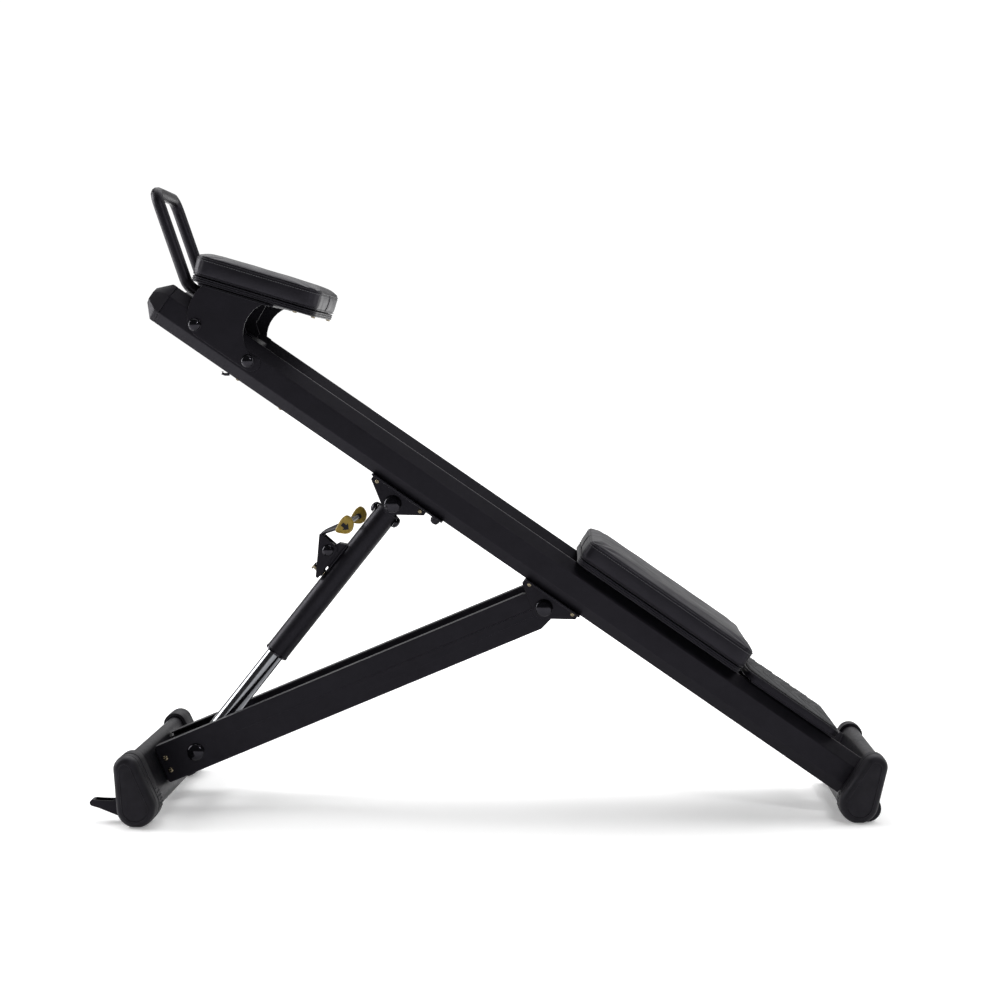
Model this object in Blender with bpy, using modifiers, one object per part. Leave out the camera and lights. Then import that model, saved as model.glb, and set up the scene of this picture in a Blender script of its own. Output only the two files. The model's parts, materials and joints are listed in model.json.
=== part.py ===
"""Incline plank trainer: two sloping rails on a folding base, a sliding knee carriage, an elbow pad
with a grip loop at the head, a foot platform at the low end and a telescoping strut with a latch.

Metres, +Z up.  +X points to the foot end, -X to the head end, -Y is the near side.  The origin is on
the floor under the middle of the machine.  Each frame below is an empty whose own X, Y and Z follow
the rail, the arm, the strut or the elbow pad, so sub-parts are drawn flat in their frame.
"""
from math import atan2, cos, degrees, hypot, pi, radians, sin

import bmesh
import bpy
from mathutils import Matrix, Vector

# --- driving dimensions -------------------------------------------------------------------------
GAP = 0.0003                        # left between touching pieces

RAIL_TILT = radians(34.5)
RAIL_HEAD = (-0.6880, 1.0659)       # X, Z of the rail centre line near its head end
RAIL_START, RAIL_END = 0.030, 1.7285  # along the rail
RAIL_Y = 0.1325                     # centre line of each rail
RAIL_HALF_W, RAIL_HALF_H, RAIL_SIDE = 0.0225, 0.043, 0.020
RAIL_CAP_START, RAIL_CAP_SHOULDER = -0.005, 0.019

STRUT_PIVOT_S, STRUT_PIVOT_N = 0.6395, -0.0813   # along and below the rail's centre line
ARM_PIVOT_S, ARM_PIVOT_N = 1.0203, -0.0769
BASE_PIVOT = (-0.6190, 0.1173)      # strut foot, between the arms

ARM_OUT, ARM_IN = 0.096, 0.066      # outer and inner faces of the arms
ARM_TOP, ARM_BOTTOM, ARM_HEEL, ARM_END_R = 0.0435, -0.0385, -0.0785, 0.027
SHEET = 0.003

FOOT_BIG, FOOT_SMALL, FOOT_REACH = 0.040, 0.026, 0.082   # tear-drop feet
FLAT_ANGLE = 12                     # degrees each side of the flat under a foot
FOOT_Z = FOOT_BIG * cos(radians(FLAT_ANGLE))
FRONT_X, FRONT_LEAN, FRONT_HALF = -0.7059, radians(-14.0), 0.245
REAR_X, REAR_LEAN, REAR_HALF = 0.7487, radians(23.0), 0.1565
CAP_DEPTH = 0.048

TUBE_R, ROD_R = 0.0254, 0.019
TUBE_MOUTH = 0.2556                 # from the strut foot to the mouth of the outer tube
ROD_TOP = -0.270                    # in the strut frame
EYE_R = 0.0225
LATCH_X, LATCH_Z = -0.0475, -0.1673
PIN_Z = -0.214

PAD_HEEL, PAD_SLOPE = (-0.6123, 1.0991), radians(16.63)
ELBOW_LENGTH, ELBOW_HALF = 0.267, 0.160
BOARD_T, CUSHION_T = 0.013, 0.0465
KNEE_START, KNEE_END, KNEE_HALF = 1.0166, 1.4195, 0.175
DECK = RAIL_HALF_H + 0.001          # underside of the knee pad
PLATFORM_START, PLATFORM_END, PLATFORM_HALF = 1.430, 1.662, 0.150
PLATFORM_N, PLATFORM_T, TREAD_T = 0.048, 0.010, 0.006
ROLLER_R, ROLLER_N, ROLLER_S = 0.0145, 0.003, (1.090, 1.350)
GROOVE_LOW, GROOVE_HIGH, GROOVE_IN = -0.0125, 0.0185, 0.0185

GRIP_R, GRIP_HALF = 0.0127, 0.100
GRIP_LEG = ((-0.5359, 1.0578), (-0.6223, 1.0812), (-0.6909, 1.2811))   # X, Z
GRIP_BEND = 0.022
WHEEL_R, WHEEL_C = 0.0275, (0.7680, 0.0280)
WHEEL_HALF, WHEEL_SET = 0.009, 0.0165    # half width, and how far into the foot
TUBE_INSET = {FRONT_X: 0.009, REAR_X: 0.006}   # cross tube inside the foot outline

HEAD_BOLT_S, HEAD_BOLT_N = (0.105, 0.2354), 0.002
HEAD_PLATE_T = 0.004
HEAD_PLATE_Y = RAIL_Y + RAIL_HALF_W + GAP + HEAD_PLATE_T / 2

CHEEK_T, TIE_T = 0.004, 0.004
UPPER_CHEEK_Y, LOWER_CHEEK_Y = 0.0605, ARM_OUT + 0.0025
PIVOT_HOLE_R = 0.0064
CROSS_Z = -0.034                    # cross bolt of the strut head, in the strut frame
EYE_PLAY_R = 0.0125                 # bore of the strut's foot eye
LATCH_HOLE_R, PIN_HOLE_R = 0.0049, 0.0056

PADDLE_X, PADDLE_Z, PADDLE_IN, PADDLE_T = -0.0470, -0.0880, 0.1175, 0.013
PADDLE = ((-0.011, -0.0215), (-0.004, -0.0220), (0.0145, -0.0110), (0.0180, 0.0015),
          (0.0110, 0.0155), (-0.003, 0.0215), (-0.0125, 0.0190), (-0.0160, 0.006))   # x, z

COLOURS = {                         # colour, roughness, metallic
    "powder": ((0.018, 0.018, 0.021), 0.45, 0.35),
    "gloss": ((0.008, 0.008, 0.010), 0.12, 0.0),
    "vinyl": ((0.016, 0.016, 0.019), 0.42, 0.0),
    "rubber": ((0.014, 0.014, 0.015), 0.75, 0.0),
    "tread": ((0.045, 0.045, 0.050), 0.80, 0.0),
    "chrome": ((0.80, 0.81, 0.83), 0.08, 1.0),
    "yellow": ((0.62, 0.44, 0.06), 0.45, 0.0),
    "steel": ((0.55, 0.50, 0.38), 0.30, 1.0),
}


# --- helpers ------------------------------------------------------------------------------------
def clear_scene():
    for obj in list(bpy.data.objects):
        bpy.data.objects.remove(obj, do_unlink=True)


def new_collection(name):
    made = bpy.data.collections.new(name)
    bpy.context.scene.collection.children.link(made)
    return made


def frame_at(name, x, z, turn):
    """An empty in the X-Z plane, turned about Y."""
    empty = bpy.data.objects.new(name, None)
    empty.location = (x, 0, z)
    empty.rotation_euler = (0, turn, 0)
    PARTS.objects.link(empty)
    return empty


def material(name, kind):
    made = bpy.data.materials.new(name)
    made.use_nodes = True
    shader = made.node_tree.nodes["Principled BSDF"]
    colour, roughness, metallic = COLOURS[kind]
    shader.inputs["Base Color"].default_value = (*colour, 1)
    shader.inputs["Roughness"].default_value = roughness
    shader.inputs["Metallic"].default_value = metallic
    return made


def add_object(name, mesh, kind, frame=None, y=0.0, smooth=True):
    """Link a mesh as a named part (or as a cutter when kind is None)."""
    obj = bpy.data.objects.new(name, mesh)
    obj.parent = frame
    obj.location.y = y
    if kind is None:
        CUTTERS.objects.link(obj)
        obj.hide_render = True
        obj.display_type = "WIRE"
        return obj
    PARTS.objects.link(obj)
    mesh.materials.append(material(name, kind))
    if smooth:
        mesh.shade_smooth()
        mesh.set_sharp_from_angle(angle=radians(35))
    return obj


def mesh_of_curve(curve, turn):
    """The welded mesh of a curve, turned by a matrix."""
    holder = bpy.data.objects.new("holder", curve)
    bpy.context.scene.collection.objects.link(holder)
    depsgraph = bpy.context.evaluated_depsgraph_get()
    mesh = bpy.data.meshes.new_from_object(holder.evaluated_get(depsgraph))
    bm = bmesh.new()
    bm.from_mesh(mesh)
    bmesh.ops.remove_doubles(bm, verts=bm.verts, dist=0.00001)
    bmesh.ops.transform(bm, matrix=turn, verts=bm.verts)
    bmesh.ops.recalc_face_normals(bm, faces=bm.faces)
    bm.to_mesh(mesh)
    bm.free()
    bpy.data.objects.remove(holder)
    mesh.materials.clear()
    return mesh


def outline_curve(outlines, thickness):
    curve = bpy.data.curves.new("outline", "CURVE")
    curve.dimensions = "2D"
    curve.fill_mode = "BOTH"
    curve.extrude = thickness / 2
    for outline in outlines:
        spline = curve.splines.new("POLY")
        spline.points.add(len(outline) - 1)
        for point, (a, b) in zip(spline.points, outline):
            point.co = (a, b, 0, 1)
        spline.use_cyclic_u = True
    return curve


SIDE_ON = Matrix.Rotation(pi / 2, 4, "X")              # outline (x, z), thickness along Y
END_ON = Matrix(((0, 0, 1, 0), (1, 0, 0, 0), (0, 1, 0, 0), (0, 0, 0, 1)))   # (y, z), along X


def plate(name, outline, y, thickness, kind, frame, holes=()):
    """A flat outline in the frame's X-Z plane, thick along Y."""
    mesh = mesh_of_curve(outline_curve([outline, *holes], thickness), SIDE_ON)
    return add_object(name, mesh, kind, frame, y)


def extrusion(name, outlines, x0, x1, y, kind, frame):
    """A cross-section (y, z) run along the frame's X from x0 to x1."""
    turn = Matrix.Translation(((x0 + x1) / 2, 0, 0)) @ END_ON
    mesh = mesh_of_curve(outline_curve(outlines, x1 - x0), turn)
    return add_object(name, mesh, kind, frame, y)


def tube(name, points, radius, kind, frame=None, sides=3):
    """A round bar along a list of points, in flat triangles; sides is the bevel resolution."""
    curve = bpy.data.curves.new(name, "CURVE")
    curve.dimensions = "3D"
    curve.bevel_depth = radius
    curve.bevel_resolution = sides
    curve.use_fill_caps = True
    spline = curve.splines.new("POLY")
    spline.points.add(len(points) - 1)
    for point, place in zip(spline.points, points):
        point.co = (*place, 1)
    mesh = mesh_of_curve(curve, Matrix.Identity(4))
    bm = bmesh.new()
    bm.from_mesh(mesh)
    bmesh.ops.triangulate(bm, faces=bm.faces)
    bm.to_mesh(mesh)
    bm.free()
    return add_object(name, mesh, kind, frame)


AXIS_TURN = {"X": Matrix.Rotation(pi / 2, 4, "Y"), "Y": Matrix.Rotation(-pi / 2, 4, "X"),
             "Z": Matrix.Identity(4)}


def cylinder(name, radius, length, centre, axis, kind, frame=None, sides=28):
    bm = bmesh.new()
    bmesh.ops.create_cone(bm, cap_ends=True, segments=sides, radius1=radius, radius2=radius,
                          depth=length)
    bmesh.ops.transform(bm, matrix=Matrix.Translation(centre) @ AXIS_TURN[axis], verts=bm.verts)
    mesh = bpy.data.meshes.new(name)
    bm.to_mesh(mesh)
    bm.free()
    return add_object(name, mesh, kind, frame)


def turned(name, profile, centre, axis, kind, frame=None, sides=28):
    """A profile of (radius, height) from top to bottom, turned about an axis."""
    mesh = bpy.data.meshes.new(name)
    points = [(r, 0, h) for r, h in profile]
    mesh.from_pydata(points, [(i, i + 1) for i in range(len(points) - 1)], [])
    obj = add_object(name, mesh, kind, frame)
    if profile[0] == profile[-1]:
        bm = bmesh.new()
        bm.from_mesh(mesh)
        bmesh.ops.remove_doubles(bm, verts=bm.verts, dist=0.00001)
        bm.to_mesh(mesh)
        bm.free()
    screw = obj.modifiers.new("turn", "SCREW")
    screw.steps = screw.render_steps = sides
    screw.use_merge_vertices = True
    screw.merge_threshold = 0.00005
    screw.use_smooth_shade = True
    obj.matrix_local = Matrix.Translation(centre) @ AXIS_TURN[axis]
    return obj


def box(name, low, high, kind, frame=None, bevel=0.0, segments=2):
    bm = bmesh.new()
    bmesh.ops.create_cube(bm, size=1)
    size = Vector(high) - Vector(low)
    middle = (Vector(high) + Vector(low)) / 2
    bmesh.ops.transform(bm, matrix=Matrix.Translation(middle) @ Matrix.Diagonal((*size, 1)),
                        verts=bm.verts)
    mesh = bpy.data.meshes.new(name)
    bm.to_mesh(mesh)
    bm.free()
    obj = add_object(name, mesh, kind, frame)
    if bevel:
        soften(obj, bevel, segments)
    return obj


def soften(obj, width, segments=2):
    bevel = obj.modifiers.new("soft edges", "BEVEL")
    bevel.width = width
    bevel.segments = segments
    bevel.limit_method = "ANGLE"
    bevel.angle_limit = radians(50)


def combine(obj, other, how="DIFFERENCE"):
    boolean = obj.modifiers.new(how.lower(), "BOOLEAN")
    boolean.operation = how
    boolean.object = other
    return obj


def arc(cx, cz, radius, start, end, steps):
    """Points of an arc, angles in degrees."""
    return [(cx + radius * cos(radians(start + (end - start) * i / steps)),
             cz + radius * sin(radians(start + (end - start) * i / steps))) for i in range(steps + 1)]


def rounded_box(x0, z0, x1, z1, radius, steps=4):
    corners = ((x1, z1, 0), (x0, z1, 90), (x0, z0, 180), (x1, z0, 270))
    points = []
    for x, z, start in corners:
        inward_x = -radius if x == x1 else radius
        inward_z = -radius if z == z1 else radius
        points += arc(x + inward_x, z + inward_z, radius, start, start + 90, steps)
    return points


def circle(cx, cz, radius, steps=20):
    return arc(cx, cz, radius, 0, 360, steps)[:-1]


def fillet_path(points, radius, steps=5):
    """A polyline in space with its inner corners rounded."""
    points = [Vector(p) for p in points]
    path = [points[0]]
    for before, corner, after in zip(points, points[1:], points[2:]):
        to_before = (before - corner).normalized()
        to_after = (after - corner).normalized()
        reach = radius / max(0.2, (to_before - to_after).length / 2)
        a, b = corner + to_before * reach, corner + to_after * reach
        for i in range(steps + 1):
            t = i / steps
            path.append(a * (1 - t) ** 2 + corner * 2 * t * (1 - t) + b * t * t)
    path.append(points[-1])
    return path


def domed_bolt(name, centre, half_length, frame, cap_r=0.019, cap_h=0.011, shank_r=0.006):
    """A through bolt along Y with a domed cap at each end; half_length is to the caps' seats."""
    dome = [(cap_r * sin(radians(a)), half_length + 0.003 + (cap_h - 0.003) * cos(radians(a)))
            for a in (0, 25, 50, 72, 90)]
    upper = dome + [(cap_r, half_length), (shank_r, half_length)]
    lower = [(r, -h) for r, h in reversed(upper)]
    return turned(name, upper + lower, centre, "Y", "gloss", frame, sides=20)


# --- rails and head -----------------------------------------------------------------------------
def rail_section(side):
    """Outer and inner outlines (y, n) of a rail; side is +1 on the far rail."""
    w, h, e = RAIL_HALF_W, RAIL_HALF_H, RAIL_SIDE
    outer = [(w, e), (0.003, h), (-0.003, h), (-w, e), (-w, GROOVE_HIGH),
             (GROOVE_IN - w, GROOVE_HIGH), (GROOVE_IN - w, GROOVE_LOW), (-w, GROOVE_LOW), (-w, -e),
             (-0.006, -h), (0.006, -h), (w, -e)]
    back = GROOVE_IN - w + 0.003
    hollow = [(w - 0.003, e - 0.0015), (0.0015, h - 0.004), (-0.0015, h - 0.004), (-0.014, e + 0.003),
              (back, e + 0.002), (back, GROOVE_LOW - 0.003), (-w + 0.003, GROOVE_LOW - 0.003),
              (-w + 0.003, -e), (-0.004, 0.004 - h), (0.004, 0.004 - h), (w - 0.003, 0.0015 - e)]
    return [[(side * y, n) for y, n in outline] for outline in (outer, hollow)]


def build_rails():
    for side, word in ((-1, "near"), (1, "far")):
        rail = extrusion(f"rail_{word}", rail_section(side), RAIL_START, RAIL_END, side * RAIL_Y,
                         "powder", RAIL)
        for s in HEAD_BOLT_S:
            hole = cylinder(f"cut_rail_{word}_{s:.3f}", PIN_HOLE_R, 0.08,
                            (s, side * RAIL_Y, HEAD_BOLT_N), "Y", None, RAIL, 16)
            combine(rail, hole)


def build_rail_caps():
    """A plug on the head end of each rail, bevelled like a blunt pyramid."""
    w, h, e = RAIL_HALF_W, RAIL_HALF_H, RAIL_SIDE
    for side, word in ((-1, "near"), (1, "far")):
        bm = bmesh.new()
        rings = []
        section = [(w, e), (0.006, h), (-0.006, h), (-w, e), (-w, -e), (-0.006, -h), (0.006, -h), (w, -e)]
        for s, wide, high in ((RAIL_CAP_START, 0.62, 0.40), (RAIL_CAP_SHOULDER, 1.0, 1.0),
                              (RAIL_START - GAP, 1.0, 1.0)):
            rings.append([bm.verts.new((s, side * y * wide, n * high)) for y, n in section])
        skin_rings(bm, rings)
        mesh = bpy.data.meshes.new(f"rail_cap_{word}")
        bm.to_mesh(mesh)
        bm.free()
        add_object(f"rail_cap_{word}", mesh, "rubber", RAIL, side * RAIL_Y, smooth=False)


def skin_rings(bm, rings):
    """Close a stack of rings with quads and two end faces."""
    for a, b in zip(rings, rings[1:]):
        for i in range(len(a)):
            j = (i + 1) % len(a)
            bm.faces.new((a[i], a[j], b[j], b[i]))
    bm.faces.new(rings[0])
    bm.faces.new(rings[-1])
    bmesh.ops.recalc_face_normals(bm, faces=bm.faces)


def head_outline():
    """Side plate (s, n): swept front edge, flat foot on the rail, concave back edge."""
    front = arc(0.156, 0.0515, 0.086, 161, 219, 6)
    foot = [(0.115, -0.0155), (0.243, -0.0155)]
    toe = arc(0.243, 0.0030, 0.0185, -90, 60, 6)
    back = arc(0.2530, 0.0790, 0.0672, 249, 143, 10)
    return front + foot + toe + back


def build_head_plates():
    for side, word in ((-1, "near"), (1, "far")):
        holes = [circle(s, HEAD_BOLT_N, PIN_HOLE_R, 12) for s in HEAD_BOLT_S]
        plate(f"head_plate_{word}", head_outline(), side * HEAD_PLATE_Y, HEAD_PLATE_T, "powder",
              RAIL, holes)
    seat = HEAD_PLATE_Y + HEAD_PLATE_T / 2 + GAP
    for s, word in zip(HEAD_BOLT_S, ("front", "rear")):
        domed_bolt(f"head_bolt_{word}", (s, 0, HEAD_BOLT_N), seat, RAIL,
                   cap_r=0.0135, cap_h=0.010, shank_r=0.005)


def build_head_box():
    """A square cross member between the rails and a plate that carries the elbow pad."""
    outer = rounded_box(0.128, -0.034, 0.214, 0.032, 0.006)
    inner = rounded_box(0.131, -0.031, 0.211, 0.029, 0.003)
    plate("head_cross_member", outer, 0, 2 * (RAIL_Y - RAIL_HALF_W - GAP), "powder", RAIL, [inner])
    box("elbow_pad_carrier", (0.022, -HEAD_PLATE_Y + HEAD_PLATE_T / 2 + GAP, -0.0045),
        (0.180, HEAD_PLATE_Y - HEAD_PLATE_T / 2 - GAP, -0.0005), "powder", PAD)


def pad_pair(prefix, frame, x0, x1, half, base, radius):
    """A trim board and the cushion on it; both are plain closed solids."""
    outline = rounded_box(x0, -half, x1, half, radius, 5)
    flat = Matrix.Translation((0, 0, base + BOARD_T / 2))
    board = mesh_of_curve(outline_curve([outline], BOARD_T), flat)
    soften(add_object(f"{prefix}_board", board, "rubber", frame), 0.003)
    inset = 0.003
    outline = rounded_box(x0 + inset, -half + inset, x1 - inset, half - inset, radius, 5)
    flat = Matrix.Translation((0, 0, base + BOARD_T + GAP + CUSHION_T / 2))
    cushion = mesh_of_curve(outline_curve([outline], CUSHION_T), flat)
    soften(add_object(f"{prefix}_cushion", cushion, "vinyl", frame), 0.006)


def build_grip():
    """The loop the hands hold: two legs bent under the elbow pad and a cross bar."""
    near = [(x, -GRIP_HALF, z) for x, z in GRIP_LEG]
    far = [(x, GRIP_HALF, z) for x, z in reversed(GRIP_LEG)]
    tube("grip_loop", fillet_path(near + far, GRIP_BEND), GRIP_R, "powder", sides=4)


# --- pivots under the rails ---------------------------------------------------------------------
def bracket_outline(pivot_s, pivot_n, top):
    """A stamped cheek: square shoulders under the rail, tapering to a round boss."""
    half, shoulder, boss = 0.067, pivot_n + 0.0175, 0.0235
    return ([(pivot_s - half, top), (pivot_s - half, shoulder)]
            + arc(pivot_s, pivot_n, boss, 218, 322, 8)
            + [(pivot_s + half, shoulder), (pivot_s + half, top)])


def build_pivots():
    under = -RAIL_HALF_H - GAP
    seat = under - TIE_T - GAP
    for word, pivot_s, pivot_n, cheek_y, extra in (
            ("upper", STRUT_PIVOT_S, STRUT_PIVOT_N, UPPER_CHEEK_Y, 0.040),
            ("lower", ARM_PIVOT_S, ARM_PIVOT_N, LOWER_CHEEK_Y, 0.0)):
        box(f"{word}_tie_plate", (pivot_s - 0.067, -0.150, under - TIE_T),
            (pivot_s + 0.067 + extra, 0.150, under), "powder", RAIL)
        outline = bracket_outline(pivot_s, pivot_n, seat)
        for side, hand in ((-1, "near"), (1, "far")):
            plate(f"{word}_bracket_{hand}", outline, side * cheek_y, CHEEK_T, "powder", RAIL,
                  [circle(pivot_s, pivot_n, PIVOT_HOLE_R, 16)])
        domed_bolt(f"{word}_pivot_bolt", (pivot_s, 0, pivot_n), cheek_y + CHEEK_T / 2 + GAP, RAIL)
    nub = [(0.0, seat), (0.010, seat), (0.010, -0.058), (0.007, -0.064), (0.0, -0.066)]
    for side, hand in ((-1, "near"), (1, "far")):
        turned(f"fold_bumper_{hand}", nub, (STRUT_PIVOT_S + 0.092, side * 0.080, 0), "Z", "rubber",
               RAIL, 20)


# --- feet ---------------------------------------------------------------------------------------
def teardrop(inset, lean, foot_x):
    """The foot outline (x, z): a big circle with a flat on the floor, a small one above, and tangents."""
    big, small = FOOT_BIG - inset, FOOT_SMALL - inset
    tip = (foot_x + FOOT_REACH * sin(lean), FOOT_Z + FOOT_REACH * cos(lean))
    slope = degrees(atan2(big - small, FOOT_REACH))
    up = 90 - degrees(lean)
    top = arc(*tip, small, up - 90 + slope, up + 90 - slope, 10)
    heel = arc(foot_x, FOOT_Z, big, up + 90 - slope, 270 - FLAT_ANGLE, 7)
    toe = arc(foot_x, FOOT_Z, big, 270 + FLAT_ANGLE, up + 270 + slope, 7)
    return top + heel + toe


def foot_cap(name, lean, foot_x, inner, side):
    """A moulded foot: rounded face, straight sleeve and a plug inside the cross tube."""
    plug = TUBE_INSET[foot_x] + SHEET + 0.0005
    rings = ((CAP_DEPTH, 0.011), (CAP_DEPTH - 0.003, 0.005), (CAP_DEPTH - 0.012, 0.001),
             (CAP_DEPTH - 0.022, 0.0), (0.0, 0.0), (0.0, plug), (-0.014, plug))
    bm = bmesh.new()
    skin = []
    for depth, inset in rings:
        y = side * (inner + GAP + depth)
        skin.append([bm.verts.new((x, y, z)) for x, z in teardrop(inset, lean, foot_x)])
    skin_rings(bm, skin)
    mesh = bpy.data.meshes.new(name)
    bm.to_mesh(mesh)
    bm.free()
    return add_object(name, mesh, "rubber")


def build_feet():
    for word, lean, foot_x, half in (("front", FRONT_LEAN, FRONT_X, FRONT_HALF),
                                     ("rear", REAR_LEAN, REAR_X, REAR_HALF)):
        wall = TUBE_INSET[foot_x]
        plate(f"{word}_cross_tube", teardrop(wall, lean, foot_x), 0, 2 * half, "powder", None,
              [teardrop(wall + SHEET, lean, foot_x)])
        for side, hand in ((-1, "near"), (1, "far")):
            cap = foot_cap(f"{word}_foot_{hand}", lean, foot_x, half, side)
            if word == "rear":
                fit_wheel(cap, side, hand)


def fit_wheel(cap, side, hand):
    """A small transport wheel in a slot of the rear foot, on stub axles."""
    middle = side * (REAR_HALF + WHEEL_SET)
    x, z = WHEEL_C
    combine(cap, cylinder(f"cut_wheel_{hand}", WHEEL_R + 0.0015, 0.020, (x, middle, z), "Y", None))
    combine(cap, cylinder(f"cut_axle_{hand}", 0.0045, 0.030, (x, middle, z), "Y", None, None, 16))
    r, half, stub, reach = WHEEL_R, WHEEL_HALF, 0.004, 0.0135
    profile = [(0, reach), (stub, reach), (stub, half), (r - 0.002, half), (r, half - 0.002),
               (r, 0.002 - half), (r - 0.002, -half), (stub, -half), (stub, -reach), (0, -reach)]
    turned(f"transport_wheel_{hand}", profile, (x, middle, z), "Y", "rubber", None, 28)


# --- base arms ----------------------------------------------------------------------------------
def build_base():
    reach = ARM_LENGTH
    outline = ([(ARM_HEEL, ARM_TOP - 0.006), (ARM_HEEL + 0.004, ARM_TOP)]
               + [(reach - 0.030, ARM_TOP)] + arc(reach, 0, ARM_END_R, 62, -62, 8)
               + [(reach - 0.022, ARM_BOTTOM), (ARM_HEEL + 0.004, ARM_BOTTOM),
                  (ARM_HEEL, ARM_BOTTOM + 0.005)])
    for side, hand in ((-1, "near"), (1, "far")):
        middle = side * (ARM_IN + ARM_OUT) / 2
        arm = plate(f"arm_{hand}", outline, middle, ARM_OUT - ARM_IN, "powder", ARM,
                    [circle(0, 0, PIVOT_HOLE_R, 16), circle(reach, 0, PIVOT_HOLE_R, 16)])
        edges = sorted((side * (ARM_IN - 0.01), side * (ARM_OUT - SHEET)))
        hollow = box(f"cut_arm_{hand}", (ARM_HEEL - 0.02, edges[0], ARM_BOTTOM + SHEET),
                     (reach + 0.06, edges[1], ARM_TOP - SHEET), None, ARM)
        combine(arm, hollow)
        edges = sorted((side * (ARM_IN + 0.002), side * (ARM_OUT - SHEET - GAP)))
        box(f"arm_socket_{hand}", (ARM_HEEL, edges[0], -0.030), (-0.026, edges[1], 0.034), "powder",
            ARM)
        build_lift_step(side, hand)
    domed_bolt("base_pivot_bolt", (0, 0, 0), ARM_OUT + GAP, ARM)


def build_lift_step(side, hand):
    """A pressed pan on the front tube that a foot can lift the machine by."""
    inner, outer = sorted((side * 0.208, side * 0.238))
    step = [(-0.738, 0.0090), (-0.792, 0.0300)] + arc(-0.8035, 0.0400, 0.0065, 245, 75, 6) + [
        (-0.785, 0.0452), (-0.765, 0.0448), (-0.7485, 0.0500)]
    lip = plate(f"lift_step_{hand}", step, (inner + outer) / 2, outer - inner, "powder", None)
    combine(lip, box(f"cut_step_{hand}", (-0.800, inner + SHEET, 0.035),
                     (-0.73, outer - SHEET, 0.06), None))
    around_tube = teardrop(TUBE_INSET[FRONT_X] - GAP, FRONT_LEAN, FRONT_X)
    combine(lip, plate(f"cut_step_tube_{hand}", around_tube, side * 0.22, 0.08, None, None))


# --- strut and latch ----------------------------------------------------------------------------
def ring(outer, inner, low, high):
    return [(inner, high), (outer, high), (outer, low), (inner, low), (inner, high)]


def build_strut():
    mouth = TUBE_MOUTH - STRUT_LENGTH
    bore = TUBE_R - SHEET
    strut = turned("strut_tube", ring(TUBE_R, bore, mouth, -EYE_R - GAP), (0, 0, 0), "Z", "powder",
                   STRUT, 32)
    combine(strut, cylinder("cut_pin_hole", PIN_HOLE_R, 0.03, (-TUBE_R, 0, PIN_Z), "X", None, STRUT,
                            16))
    combine(strut, cylinder("cut_cross_hole", 0.0050, 0.09, (0, 0, CROSS_Z), "X", None, STRUT, 16))
    slide, lip, liner = ROD_R + 0.0004, TUBE_R + 0.0012, bore - GAP
    collar = [(slide, mouth + 0.030), (liner, mouth + 0.030), (liner, mouth - GAP),
              (lip, mouth - GAP), (lip, mouth - 0.005), (slide, mouth - 0.005), (slide, mouth + 0.030)]
    turned("strut_collar", collar, (0, 0, 0), "Z", "gloss", STRUT, 32)
    half = UPPER_CHEEK_Y - CHEEK_T / 2 - GAP
    turned("strut_eye", ring(EYE_R, 0.0066, -half, half), (0, 0, 0), "Y", "powder", STRUT, 28)
    bolt = domed_bolt("strut_cross_bolt", (0, 0, CROSS_Z), TUBE_R + GAP, STRUT, 0.0125, 0.010,
                      0.0045)
    bolt.matrix_local = Matrix.Translation((0, 0, CROSS_Z)) @ AXIS_TURN["X"]


def build_rod():
    foot = -STRUT_LENGTH
    rod = turned("strut_rod", ring(ROD_R, ROD_R - 0.0025, foot + EYE_R + GAP, ROD_TOP), (0, 0, 0),
                 "Z", "chrome", STRUT, 32)
    for level in range(4):
        z = PIN_Z - 0.068 - 0.034 * level
        combine(rod, cylinder(f"cut_level_{level}", PIN_HOLE_R, 0.03, (-ROD_R, 0, z), "X", None,
                              STRUT, 16))
    half = ARM_IN - 0.004
    turned("rod_eye", ring(EYE_R, EYE_PLAY_R, -half, half), (0, 0, foot), "Y", "powder", STRUT, 28)


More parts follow.
